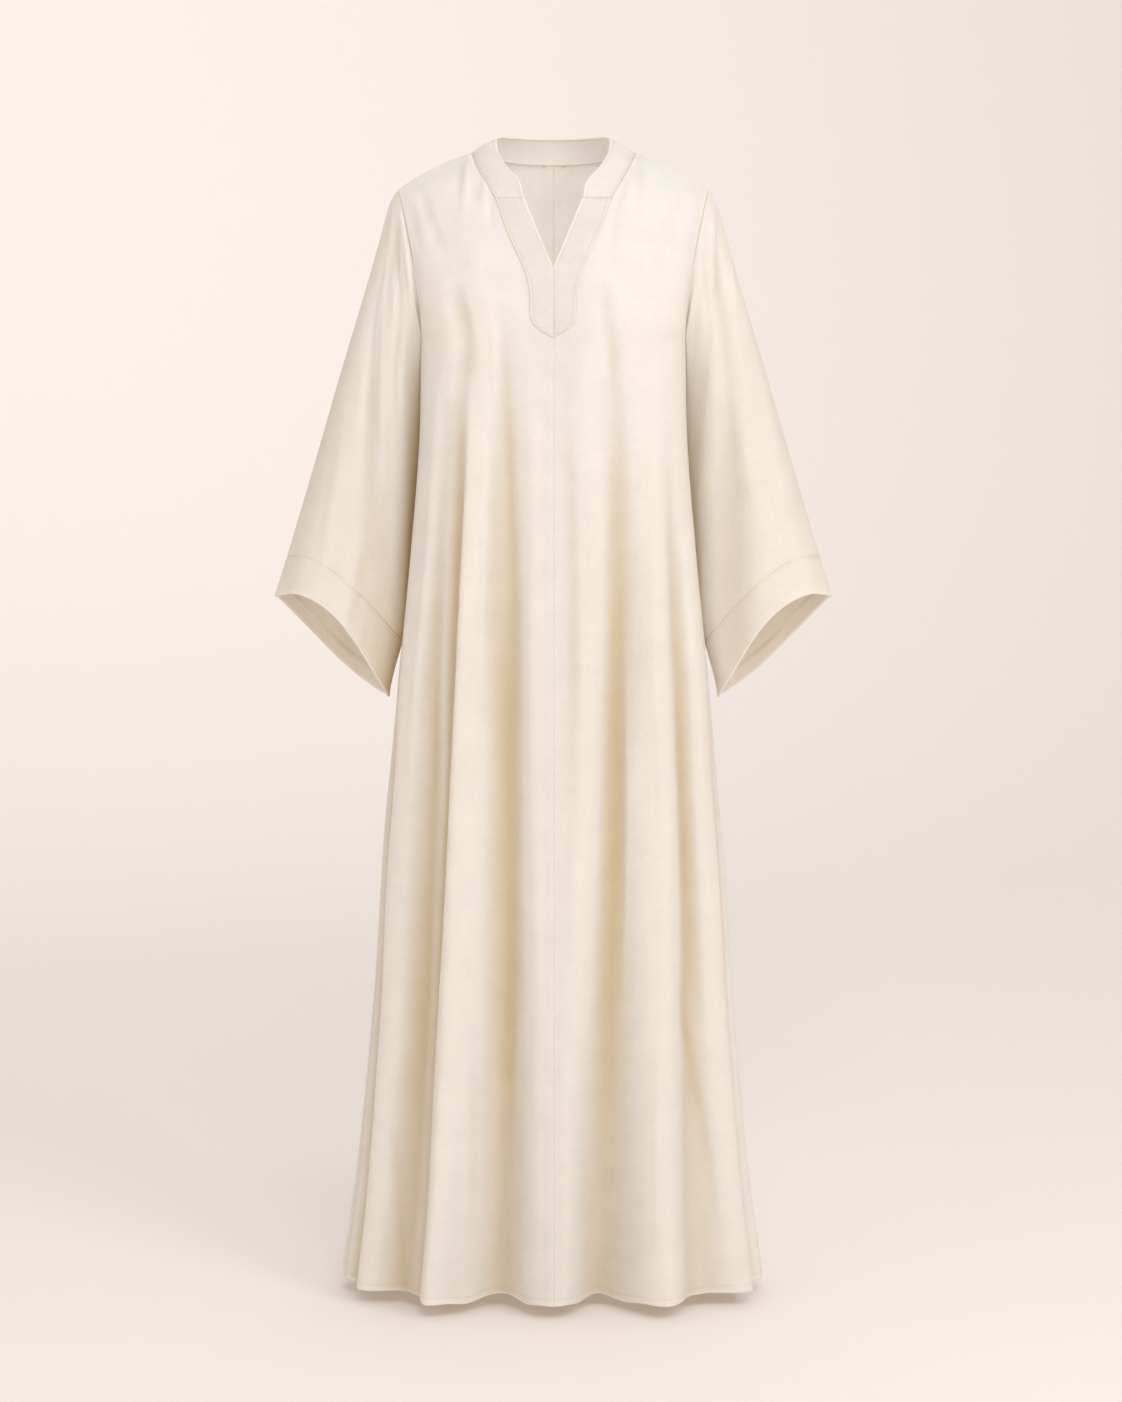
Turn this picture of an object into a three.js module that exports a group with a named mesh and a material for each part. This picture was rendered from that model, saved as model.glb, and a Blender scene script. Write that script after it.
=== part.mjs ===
// Maxi kaftan: an ankle-length robe with a narrow stand collar, a V opening edged by an applied band,
// set-in bell sleeves with wide cuff bands, and seams down the centre front and centre back.
// It keeps the hollow form that it has when worn. Millimetres, +Z up, the front faces -Y,
// the origin is at the base of the neck, and left and right are as seen from the front.
import * as THREE from 'three';

// ---- Driving dimensions -------------------------------------------------------------------------

const CLOTH_WALL = 1.8;
const BAND_WALL = 1.4;
const SEAM_GAP = 0.3;
const HEM_Z = -1436;
const ARMPIT_Z = -236;
const NECK_BAND_TOP_Z = -63;
const V_POINT_Z = -150;
const V_TOP_HALF_WIDTH = 36;
const SLEEVE_CLEARANCE = 2;
const CLOTH = { color: 0xf1e7d9, roughness: 0.85, metalness: 0 };

// How finely each piece is divided.
const SKIRT_ROWS = 20;
const YOKE_ROWS = { belowNeck: 7, alongNeck: 7 };
const PANEL_COLUMNS = { front: 22, back: 16 };
const SLEEVE_ROWS = 11;
const CUFF_ROWS = 2;
const COLLAR_ROWS = 2;
const BAND_GRID = { across: 3, down: 14 };

// Level sections of the body below the armpit: half the width, the depth of the front and of the back,
// where the side seam lies, and the power that squares the quarter ellipses below one.
const BODY_SECTIONS = [
  { z: -1436, halfWidth: 270, front: 121, back: 150, sideY: 2, power: 1 },
  { z: -1398, halfWidth: 265, front: 121, back: 148, sideY: 2, power: 1 },
  { z: -1321, halfWidth: 254, front: 120, back: 144, sideY: 3, power: 1 },
  { z: -1207, halfWidth: 242, front: 119, back: 138, sideY: 4, power: 1 },
  { z: -1054, halfWidth: 229, front: 118, back: 131, sideY: 5, power: 1 },
  { z: -901, halfWidth: 219, front: 117, back: 124, sideY: 6, power: 0.98 },
  { z: -771, halfWidth: 207, front: 117, back: 119, sideY: 7, power: 0.92 },
  { z: -655, halfWidth: 200, front: 117, back: 114, sideY: 8, power: 0.86 },
  { z: -505, halfWidth: 186, front: 119, back: 110, sideY: 8, power: 0.79 },
  { z: -356, halfWidth: 172, front: 121, back: 107, sideY: 8, power: 0.7 },
  { z: -236, halfWidth: 167, front: 121, back: 105, sideY: 8, power: 0.66 },
];

// Rows from the armpit up to the shoulder seam: height and depth on the centre line, the armhole's
// point, the part of a quarter ellipse, in degrees, that the row bends through, and its power.
const FRONT_YOKE = [
  { z: -236, y: -121, armX: 167, armY: 8, armZ: -236, arc: 90, power: 0.66 },
  { z: -206, y: -120.5, armX: 166.6, armY: -22, armZ: -224, arc: 86, power: 0.7 },
  { z: -172, y: -118.5, armX: 167.3, armY: -41, armZ: -202, arc: 80, power: 0.77 },
  { z: -140, y: -113, armX: 169.5, armY: -50, armZ: -174, arc: 76, power: 0.85 },
  { z: -105, y: -104, armX: 173.5, armY: -51, armZ: -145, arc: 73, power: 0.93 },
  { z: -70, y: -90, armX: 179, armY: -46, armZ: -116, arc: 70, power: 0.98 },
  { z: -38, y: -70, armX: 184.5, armY: -36, armZ: -90, arc: 67, power: 1 },
  { z: -12, y: -44, armX: 190, armY: -22, armZ: -67, arc: 63, power: 1 },
  { z: 11.5, y: 5, armX: 196, armY: 5, armZ: -46, arc: 60, power: 1 },
];
const BACK_YOKE = [
  { z: -236, y: 105, armX: 167, armY: 8, armZ: -236, arc: 90, power: 0.66 },
  { z: -204, y: 107, armX: 168, armY: 33, armZ: -222, arc: 84, power: 0.71 },
  { z: -165, y: 109.5, armX: 171, armY: 51, armZ: -192, arc: 78, power: 0.78 },
  { z: -120, y: 110.5, armX: 176, armY: 58, armZ: -152, arc: 73, power: 0.86 },
  { z: -75, y: 108, armX: 182, armY: 55, armZ: -115, arc: 69, power: 0.93 },
  { z: -35, y: 99, armX: 188, armY: 43, armZ: -84, arc: 66, power: 0.98 },
  { z: -9, y: 88, armX: 192, armY: 30, armZ: -65, arc: 63, power: 1 },
  { z: 1, y: 68, armX: 194.5, armY: 17, armZ: -54, arc: 61, power: 1 },
  { z: 11.5, y: 5, armX: 196, armY: 5, armZ: -46, arc: 60, power: 1 },
];
const SHOULDER_DROP = 2.5; // power by which a row falls from the centre line to the armhole

// Half widths of the neck opening by height, at the front above the neck band and at the back.
const FRONT_NECKLINE = [
  { z: -63, halfWidth: 71 },
  { z: -42, halfWidth: 83 },
  { z: -20, halfWidth: 95 },
  { z: 0, halfWidth: 103 },
];
const BACK_NECKLINE = [
  { z: -9, halfWidth: 0 },
  { z: -8, halfWidth: 32 },
  { z: -5, halfWidth: 66 },
  { z: -2, halfWidth: 90 },
  { z: 0, halfWidth: 103 },
];

// Lengthwise folds. Places count quarter turns from the centre front, to the right above nought, so that
// 1 is the side seam and 2 the centre back: at the fold's start, half way down and at the hem. The outs
// are how far a crest stands out, or below nought a valley goes in, half way down and at the hem. The
// last two columns are its half widths to the left and the right.
const FOLDS = [
  { top: -0.33, mid: -0.36, hem: -0.37, start: -215, outMid: 19, outHem: 40, left: 0.07, right: 0.15 },
  { top: -0.52, mid: -0.52, hem: -0.51, start: -240, outMid: -9, outHem: -13, left: 0.14, right: 0.08 },
  { top: -0.2, mid: -0.165, hem: -0.165, start: -260, outMid: -12, outHem: -34, left: 0.12, right: 0.12 },
  { top: -0.03, mid: -0.035, hem: 0, start: -300, outMid: 8, outHem: 24, left: 0.13, right: 0.13 },
  { top: 0.29, mid: 0.24, hem: 0.155, start: -240, outMid: -17, outHem: -39, left: 0.14, right: 0.13 },
  { top: 0.45, mid: 0.44, hem: 0.33, start: -260, outMid: 11, outHem: 42, left: 0.14, right: 0.13 },
  { top: 0.6, mid: 0.58, hem: 0.55, start: -380, outMid: -5, outHem: -4, left: 0.1, right: 0.1 },
  { top: 0.74, mid: 0.73, hem: 0.68, start: -420, outMid: 7, outHem: 22, left: 0.2, right: 0.09 },
  { top: -0.78, mid: -0.76, hem: -0.69, start: -420, outMid: 5, outHem: 13, left: 0.08, right: 0.16 },
  { top: -0.9, mid: -0.88, hem: -0.83, start: -640, outMid: -3, outHem: -12, left: 0.12, right: 0.1 },
  { top: 0.9, mid: 0.88, hem: 0.82, start: -640, outMid: -3, outHem: -14, left: 0.1, right: 0.12 },
  { top: 1.3, mid: 1.27, hem: 1.22, start: -430, outMid: -12, outHem: -26, left: 0.12, right: 0.16 },
  { top: 1.5, mid: 1.48, hem: 1.46, start: -300, outMid: 11, outHem: 26, left: 0.16, right: 0.1 },
  { top: 1.72, mid: 1.7, hem: 1.67, start: -280, outMid: -13, outHem: -32, left: 0.13, right: 0.14 },
  { top: 1.95, mid: 1.92, hem: 1.9, start: -260, outMid: 10, outHem: 24, left: 0.15, right: 0.16 },
  { top: -1.82, mid: -1.84, hem: -1.86, start: -290, outMid: -10, outHem: -28, left: 0.13, right: 0.12 },
  { top: -1.62, mid: -1.6, hem: -1.62, start: -330, outMid: 13, outHem: 30, left: 0.12, right: 0.17 },
  { top: -1.38, mid: -1.37, hem: -1.37, start: -280, outMid: -12, outHem: -30, left: 0.15, right: 0.13 },
  { top: -1.16, mid: -1.17, hem: -1.18, start: -520, outMid: 5, outHem: 17, left: 0.14, right: 0.12 },
];
const FOLD_MIDDLE_Z = -800;
const BUST = { x: 84, z: -200, radius: 90, out: 4 };
// The side gives way where the sleeve lies against it.
const SLEEVE_HOLLOW = { at: 1.14, halfWidth: 0.42, depth: 11, topZ: -236, bottomZ: -760 };

// Sleeve rings, by share of the sleeve's length: the outer and inner ends of the ring as seen from the
// front, the depths of its middle, front and back, and how far its front edge arches up.
const SLEEVE_RINGS = [
  { share: 0, outX: 196, outZ: -46, inX: 167, inZ: -236, middle: 6, front: -51, back: 60, rise: 0 },
  { share: 0.035, outX: 206, outZ: -64, inX: 171, inZ: -252, middle: 6, front: -54, back: 64, rise: 1 },
  { share: 0.11, outX: 217.5, outZ: -104, inX: 173, inZ: -285, middle: 8, front: -56, back: 70, rise: 2 },
  { share: 0.25, outX: 239, outZ: -177, inX: 177, inZ: -348, middle: 11, front: -58, back: 78, rise: 5 },
  { share: 0.45, outX: 271, outZ: -281, inX: 186, inZ: -438, middle: 15, front: -56, back: 85, rise: 11 },
  { share: 0.65, outX: 302, outZ: -385, inX: 194, inZ: -527, middle: 18, front: -55, back: 91, rise: 19 },
  { share: 0.85, outX: 334, outZ: -490, inX: 200, inZ: -617, middle: 20, front: -55, back: 96, rise: 30 },
  { share: 1, outX: 355.5, outZ: -558, inX: 206, inZ: -686, middle: 20, front: -57, back: 98, rise: 48 },
];
const CUFF_SEAM = { outer: 0.886, inner: 0.845 }; // share of the sleeve's length where the cuff starts
// Sleeve folds, in degrees round from the outer line by way of the front, at the armhole, half way and
// at the cuff; out is the height at the armhole end, half way and at the cuff.
const SLEEVE_FOLDS = [
  { top: 52, mid: 98, cuff: 132, outTop: -5, outMid: -9, outCuff: -6, halfWidth: 30 },
  { top: 95, mid: 138, cuff: 165, outTop: 1, outMid: 5, outCuff: 2, halfWidth: 24 },
  { top: 20, mid: 40, cuff: 62, outTop: 0, outMid: 4, outCuff: 3, halfWidth: 30 },
  { top: 300, mid: 285, cuff: 262, outTop: -3, outMid: -8, outCuff: -6, halfWidth: 28 },
  { top: 250, mid: 236, cuff: 222, outTop: 0, outMid: 5, outCuff: 4, halfWidth: 24 },
  { top: 335, mid: 325, cuff: 318, outTop: 0, outMid: 3, outCuff: 4, halfWidth: 24 },
];

// The collar's top edge, by share of the way from its front end to the centre back.
const COLLAR_TOP = [
  { share: 0, x: 36.5, y: -88, z: -62.8 },
  { share: 0.06, x: 38.5, y: -88, z: -50 },
  { share: 0.14, x: 44, y: -82, z: -38 },
  { share: 0.26, x: 57, y: -66, z: -23 },
  { share: 0.38, x: 68, y: -42, z: -4 },
  { share: 0.5, x: 71, y: -10, z: 14 },
  { share: 0.62, x: 67, y: 24, z: 22 },
  { share: 0.74, x: 54, y: 50, z: 24 },
  { share: 0.87, x: 30, y: 66, z: 24 },
  { share: 1, x: 0, y: 72, z: 24 },
];
const COLLAR_BULGE = 2.5;

// The applied neck band's outer edge, from its seam with the collar to its pointed end.
const BAND_OUTLINE = [
  { z: -63.3, halfWidth: 71 },
  { z: -89, halfWidth: 63 },
  { z: -121, halfWidth: 50 },
  { z: -145, halfWidth: 39 },
  { z: -163, halfWidth: 32.5 },
  { z: -182, halfWidth: 29.4 },
  { z: -213, halfWidth: 27.4 },
  { z: -222, halfWidth: 21 },
  { z: -235, halfWidth: 0.8 },
];

// ---- Small tools --------------------------------------------------------------------------------

const radians = THREE.MathUtils.degToRad;

/** A smooth curve through one column of a table, by its key column. */
function curve(table, key, column) {
  const rows = [...table].sort((a, b) => a[key] - b[key]);
  const slope = (i) => {
    const before = rows[Math.max(i - 1, 0)];
    const after = rows[Math.min(i + 1, rows.length - 1)];
    return (after[column] - before[column]) / (after[key] - before[key]);
  };
  return (value) => {
    const at = THREE.MathUtils.clamp(value, rows[0][key], rows[rows.length - 1][key]);
    let i = 0;
    while (i < rows.length - 2 && at > rows[i + 1][key]) i += 1;
    const span = rows[i + 1][key] - rows[i][key];
    const t = (at - rows[i][key]) / span;
    const [t2, t3] = [t * t, t * t * t];
    return (2 * t3 - 3 * t2 + 1) * rows[i][column] + (t3 - 2 * t2 + t) * span * slope(i)
      + (3 * t2 - 2 * t3) * rows[i + 1][column] + (t3 - t2) * span * slope(i + 1);
  };
}

/** Every column of a table as a curve: columns.name(value). */
function curves(table, key) {
  const names = Object.keys(table[0]).filter((name) => name !== key);
  return Object.fromEntries(names.map((name) => [name, curve(table, key, name)]));
}

/** The value between low and high at which a rising function crosses nought. */
function solve(rising, low, high) {
  let [from, to] = [low, high];
  for (let step = 0; step < 40; step += 1) {
    const middle = (from + to) / 2;
    if (rising(middle) > 0) to = middle;
    else from = middle;
  }
  return (from + to) / 2;
}

/** One in the middle, nought from one half width away. */
function hump(offset, halfWidth) {
  return Math.abs(offset) >= halfWidth ? 0 : Math.cos((Math.PI / 2) * (offset / halfWidth)) ** 2;
}

/** The way from one value to another in equal steps, both ends included. */
function steps(from, to, count) {
  return Array.from({ length: count + 1 }, (_, i) => from + ((to - from) * i) / count);
}

/** Points of a grid from a function of row and column shares. */
function grid(rows, columns, pointAt) {
  return Array.from({ length: rows + 1 }, (_, i) =>
    Array.from({ length: columns + 1 }, (_, j) => pointAt(i / rows, j / columns)));
}

/** The unit normal of a surface at (u, v), on the side that outward points to. */
function normalOf(surface, u, v, outward, step = 0.002) {
  const alongU = surface(u + step, v).sub(surface(u - step, v));
  const alongV = surface(u, v + step).sub(surface(u, v - step));
  const normal = alongU.cross(alongV).normalize();
  return normal.dot(outward) < 0 ? normal.negate() : normal;
}

/** Moves the first or last column, or row, of a wall's two faces towards the piece's inside. */
function inset(faces, edge, distance) {
  const [outer] = faces;
  const lastRow = outer.length - 1;
  const lastColumn = outer[0].length - 1;
  const pairs = [];
  if (edge === 'first column') outer.forEach((_, i) => pairs.push([i, 0, i, 1]));
  if (edge === 'last column') outer.forEach((_, i) => pairs.push([i, lastColumn, i, lastColumn - 1]));
  if (edge === 'first row') outer[0].forEach((_, j) => pairs.push([0, j, 1, j]));
  if (edge === 'last row') outer[0].forEach((_, j) => pairs.push([lastRow, j, lastRow - 1, j]));
  for (const [i, j, towardI, toward] of pairs) {
    const shift = outer[towardI][toward].clone().sub(outer[i][j]).setLength(distance);
    faces.forEach((face) => face[i][j].add(shift));
  }
}

/** A closed cloth wall between an outer and an inner grid of points, round a tube if it loops. */
function clothWall(name, outer, inner, loops = false) {
  const rows = outer.length;
  const columns = outer[0].length - (loops ? 1 : 0);
  const points = [];
  for (const face of [outer, inner]) {
    face.forEach((row) => row.slice(0, columns).forEach((p) => points.push(p.x, p.y, p.z)));
  }
  const index = [];
  const id = (face, i, j) => face * rows * columns + i * columns + (j % columns);
  const quad = (a, b, c, d) => index.push(a, b, c, a, c, d);
  const lastColumn = loops ? columns : columns - 1;
  for (let i = 0; i < rows - 1; i += 1) {
    for (let j = 0; j < lastColumn; j += 1) {
      quad(id(0, i, j), id(0, i, j + 1), id(0, i + 1, j + 1), id(0, i + 1, j));
      quad(id(1, i, j), id(1, i + 1, j), id(1, i + 1, j + 1), id(1, i, j + 1));
    }
  }
  for (let j = 0; j < lastColumn; j += 1) {
    quad(id(0, 0, j), id(1, 0, j), id(1, 0, j + 1), id(0, 0, j + 1));
    quad(id(0, rows - 1, j), id(0, rows - 1, j + 1), id(1, rows - 1, j + 1), id(1, rows - 1, j));
  }
  for (let i = 0; i < rows - 1 && !loops; i += 1) {
    quad(id(0, i, 0), id(0, i + 1, 0), id(1, i + 1, 0), id(1, i, 0));
    quad(id(0, i, lastColumn), id(1, i, lastColumn), id(1, i + 1, lastColumn), id(0, i + 1, lastColumn));
  }
  const at = (k) => new THREE.Vector3().fromArray(points, 3 * k);
  let volume = 0;
  for (let k = 0; k < index.length; k += 3) {
    volume += at(index[k]).dot(at(index[k + 1]).cross(at(index[k + 2])));
  }
  if (volume < 0) index.reverse();
  const geometry = new THREE.BufferGeometry();
  geometry.setAttribute('position', new THREE.Float32BufferAttribute(points, 3));
  geometry.setIndex(index);
  geometry.computeVertexNormals();
  const mesh = new THREE.Mesh(geometry, new THREE.MeshStandardMaterial(CLOTH));
  mesh.name = name;
  return mesh;
}

// ---- The body's surface -------------------------------------------------------------------------

const section = curves(BODY_SECTIONS, 'z');
const withShares = (rows) => rows.map((row, i) => ({ ...row, share: i / (rows.length - 1) }));
const yoke = {
  front: curves(withShares(FRONT_YOKE), 'share'),
  back: curves(withShares(BACK_YOKE), 'share'),
};

/** How far the folds move the cloth out at a place round the body and a height. */
function foldOut(place, z) {
  let out = 0;
  for (const fold of FOLDS) {
    if (z > fold.start) continue;
    const down = THREE.MathUtils.clamp((fold.start - z) / (fold.start - FOLD_MIDDLE_Z), 0, 1);
    const low = THREE.MathUtils.clamp((FOLD_MIDDLE_Z - z) / (FOLD_MIDDLE_Z - HEM_Z), 0, 1);
    const centre = fold.top + (fold.mid - fold.top) * down + (fold.hem - fold.mid) * low;
    const height = fold.outMid * THREE.MathUtils.smoothstep(down, 0, 1)
      + (fold.outHem - fold.outMid) * low;
    const offset = THREE.MathUtils.euclideanModulo(place - centre + 2, 4) - 2;
    out += height * hump(offset, offset < 0 ? fold.left : fold.right);
  }
  const { at, halfWidth, depth, topZ, bottomZ } = SLEEVE_HOLLOW;
  const along = hump(z - (topZ + bottomZ) / 2, (topZ - bottomZ) / 2) ** 0.6;
  return out - depth * along * hump(Math.abs(place) - at, halfWidth);
}

/** The fullness that the front's cut gives over the chest. */
const bustOut = (panel, x, z) =>
  (panel === 'front' ? BUST.out * hump(Math.hypot(x - BUST.x, z - BUST.z), BUST.radius) : 0);

/** The sine or cosine of an angle raised to a power that squares an ellipse, keeping its sign. */
const squared = (ratio, power) => Math.sign(ratio) * Math.abs(ratio) ** power;

/**
 * A point of the body. Across runs from 0 at the centre line to 1 at the side seam or armhole, and up
 * from -1 at the hem over 0 at the armpit to 1 at the shoulder seam.
 */
function bodyPoint(panel, side, across, up) {
  if (up < 0) {
    const z = ARMPIT_Z + (ARMPIT_Z - HEM_Z) * up;
    const angle = radians(90 * across);
    const depth = panel === 'front' ? -section.front(z) : section.back(z);
    const halfWidth = section.halfWidth(z);
    const reach = depth - section.sideY(z);
    const place = side * (panel === 'front' ? across : 2 - across);
    const outX = Math.sin(angle) * Math.abs(reach);
    const outY = Math.cos(angle) * halfWidth * Math.sign(reach);
    const out = foldOut(place, z) / Math.hypot(outX, outY);
    const x = halfWidth * squared(Math.sin(angle), section.power(z)) + out * outX;
    const y = section.sideY(z) + reach * squared(Math.cos(angle), section.power(z)) + out * outY;
    return new THREE.Vector3(side * x, y - bustOut(panel, x, z), z);
  }
  const row = yoke[panel];
  const share = Math.min(up, 1);
  const arc = radians(row.arc(share));
  const power = row.power(share);
  const x = row.armX(share) * squared(Math.sin(arc * across) / Math.sin(arc), power);
  const fall = Math.abs(x / row.armX(share)) ** SHOULDER_DROP;
  const z = row.z(share) + (row.armZ(share) - row.z(share)) * fall;
  const flatness = squared((Math.cos(arc * across) - Math.cos(arc)) / (1 - Math.cos(arc)), power);
  const y = row.armY(share) + (row.y(share) - row.armY(share)) * flatness;
  return new THREE.Vector3(side * x, y - bustOut(panel, x, z), z);
}

const bodyNormal = (panel, side, across, up) => {
  const outward = bodyPoint(panel, side, across, up).setZ(up > 0.6 ? 400 : 0);
  return normalOf((a, u) => bodyPoint(panel, side, a, u), across, Math.min(up, 0.998), outward);
};

const neckHalfWidth = {
  front: curve(FRONT_NECKLINE, 'z', 'halfWidth'),
  back: curve(BACK_NECKLINE, 'z', 'halfWidth'),
};

/** Half the width of the V and the neck opening at a height. */
function openingHalfWidth(panel, z) {
  if (panel === 'front' && z < NECK_BAND_TOP_Z) {
    return V_TOP_HALF_WIDTH * Math.max(0, (z - V_POINT_Z) / (NECK_BAND_TOP_Z - V_POINT_Z));
  }
  return neckHalfWidth[panel](z);
}

/** Where a row starts: at the centre line, or at the edge of the V or the neckline. */
function rowStart(panel, up) {
  if (up <= 0) return 0;
  const past = (across) => {
    const point = bodyPoint(panel, 1, across, up);
    return point.x - openingHalfWidth(panel, point.z);
  };
  return past(0) >= 0 ? 0 : solve(past, 0, 1);
}

const neckEdge = (panel, up) => bodyPoint(panel, 1, rowStart(panel, up), up);

/** Heights up the yoke that part a panel's neckline evenly by length. */
function evenNeckUps(panel, from, count) {
  const ups = steps(from, 1, 80);
  const reach = [0];
  for (let i = 1; i < ups.length; i += 1) {
    reach.push(reach[i - 1] + neckEdge(panel, ups[i]).distanceTo(neckEdge(panel, ups[i - 1])));
  }
  return steps(0, reach[reach.length - 1], count).map((target) => {
    const i = Math.max(1, reach.findIndex((length) => length >= target - 1e-9));
    return ups[i - 1] + (ups[i] - ups[i - 1]) * (target - reach[i - 1]) / (reach[i] - reach[i - 1]);
  });
}

// The yoke's rows: up to the neck in even steps, then one for each of the collar's columns.
const V_TOP_UP = solve((up) => neckEdge('front', up).z - NECK_BAND_TOP_Z + 0.05, 0.3, 0.95);
const NECK_START = {
  front: solve((up) => neckEdge('front', up).z - NECK_BAND_TOP_Z - 0.05, 0.3, 0.95),
  back: solve((up) => rowStart('back', up) - 0.001, 0.3, 0.95),
};
const YOKE_UPS = {
  front: [
    ...steps(0, V_TOP_UP, YOKE_ROWS.belowNeck - 1),
    ...evenNeckUps('front', NECK_START.front, YOKE_ROWS.alongNeck),
  ],
  back: [
    ...steps(0, NECK_START.back, YOKE_ROWS.belowNeck).slice(0, -1),
    ...evenNeckUps('back', NECK_START.back, YOKE_ROWS.alongNeck),
  ],
};

function makePanel(panel, side, name) {
  const ups = [...steps(-1, 0, SKIRT_ROWS).slice(0, -1), ...YOKE_UPS[panel]];
  const faces = [[], []];
  for (const up of ups) {
    const start = rowStart(panel, up);
    const row = [[], []];
    for (const share of steps(0, 1, PANEL_COLUMNS[panel])) {
      const across = start + (1 - start) * share;
      const point = bodyPoint(panel, side, across, up);
      const normal = bodyNormal(panel, side, across, up);
      if (up === 1) {
        normal.add(bodyNormal(panel === 'front' ? 'back' : 'front', side, across, up)).normalize();
      }
      row[0].push(point);
      row[1].push(point.clone().addScaledVector(normal, -CLOTH_WALL));
    }
    faces.forEach((face, i) => face.push(row[i]));
  }
  inset(faces, 'first column', SEAM_GAP / 2);
  inset(faces, 'last row', SEAM_GAP / 2);
  inset(faces.map((face) => face.slice(0, SKIRT_ROWS + 1)), 'last column', SEAM_GAP / 2);
  return clothWall(name, faces[0], faces[1]);
}

// ---- What lies on the fronts --------------------------------------------------------------------

/** The place of the front's point at a distance from the centre line and a height. */
function placeOnFront(x, z) {
  const acrossAt = (up) => {
    const arc = radians(yoke.front.arc(up));
    const ratio = (x / yoke.front.armX(up)) ** (1 / yoke.front.power(up));
    return Math.asin(ratio * Math.sin(arc)) / arc;
  };
  const up = solve((share) => bodyPoint('front', 1, acrossAt(share), share).z - z, 0, 1);
  return { across: acrossAt(up), up };
}

function makeBand(side, name) {
  const outlineX = curve(BAND_OUTLINE, 'z', 'halfWidth');
  const topZ = BAND_OUTLINE[0].z;
  const tipZ = BAND_OUTLINE[BAND_OUTLINE.length - 1].z;
  const place = grid(BAND_GRID.down, BAND_GRID.across, (down, across) => {
    const z = topZ + (tipZ - topZ) * down;
    const innerX = Math.max(openingHalfWidth('front', z - 0.4), SEAM_GAP / 2);
    return placeOnFront(innerX + (outlineX(z) - innerX) * across, z);
  });
  const lifted = (lift) => place.map((row) => row.map(({ across, up }) =>
    bodyPoint('front', side, across, up).addScaledVector(bodyNormal('front', side, across, up), lift)));
  return clothWall(name, lifted(SEAM_GAP + BAND_WALL), lifted(SEAM_GAP));
}

// ---- Collar -------------------------------------------------------------------------------------

const collarTop = curves(COLLAR_TOP, 'share');

/** The neckline's places on the right half, from the front end of the collar to the centre back. */
const NECK_PLACES = [
  ...YOKE_UPS.front.slice(YOKE_ROWS.belowNeck).map((up) => ({ panel: 'front', up })),
  ...YOKE_UPS.back.slice(YOKE_ROWS.belowNeck, -1).reverse().map((up) => ({ panel: 'back', up })),
];

/** The collar's outer and inner points at a column of its right half, up from its seam to its top. */
function collarPair(column, up) {
  const last = NECK_PLACES.length - 1;
  const place = NECK_PLACES[column];
  const seam = neckEdge(place.panel, place.up);
  const spot = (i) => neckEdge(NECK_PLACES[i].panel, NECK_PLACES[i].up);
  const ahead = spot(Math.min(column + 1, last)).sub(spot(Math.max(column - 1, 0))).normalize();
  if (column === last) ahead.set(-1, 0, 0);
  const normal = bodyNormal(place.panel, 1, rowStart(place.panel, place.up), place.up);
  const away = normal.clone().cross(ahead).normalize();
  if (away.dot(seam) > 0) away.negate();
  const share = column / last;
  const top = new THREE.Vector3(collarTop.x(share), collarTop.y(share), collarTop.z(share));
  const face = ahead.cross(top.clone().sub(seam)).normalize();
  if (face.dot(seam.clone().setZ(30)) < 0) face.negate();
  const flush = (BAND_WALL + SEAM_GAP) * (1 - THREE.MathUtils.smoothstep(share, 0.02, 0.14));
  const base = seam.clone().addScaledVector(away, SEAM_GAP);
  const outer = base.lerp(top, up).addScaledVector(face, COLLAR_BULGE * 4 * up * (1 - up) + flush);
  const inner = outer.clone().addScaledVector(face, -CLOTH_WALL);
  if (up === 0) inner.addScaledVector(away, Math.max(SEAM_GAP - inner.clone().sub(seam).dot(away), 0));
  return [outer, inner];
}

function makeCollar() {
  const half = NECK_PLACES.length - 1;
  const pairs = grid(COLLAR_ROWS, 2 * half, (up, along) => {
    const column = Math.round(half * (1 - Math.abs(1 - 2 * along)));
    const pair = collarPair(column, up);
    pair.forEach((point) => point.setX(along < 0.5 ? -point.x : point.x));
    return pair;
  });
  const face = (i) => pairs.map((row) => row.map((pair) => pair[i]));
  return clothWall('collar', face(0), face(1));
}

// ---- Sleeves and cuffs --------------------------------------------------------------------------

const YOKE_ROW_COUNT = YOKE_ROWS.belowNeck + YOKE_ROWS.alongNeck;
const SLEEVE_COLUMNS = 2 * YOKE_ROW_COUNT; // they meet the yoke's rows at the armhole

const ring = curves(SLEEVE_RINGS, 'share');
/** How far out the body's side reaches at a depth and a height below the armpit. */
function bodySideX(y, z) {
  const up = (z - ARMPIT_Z) / (ARMPIT_Z - HEM_Z);
  const panel = y < section.sideY(z) ? 'front' : 'back';
  const sign = panel === 'front' ? 1 : -1;
  const across = solve((a) => sign * (bodyPoint(panel, 1, a, up).y - y), 0.3, 1);
  return bodyPoint(panel, 1, across, up).x;
}

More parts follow.
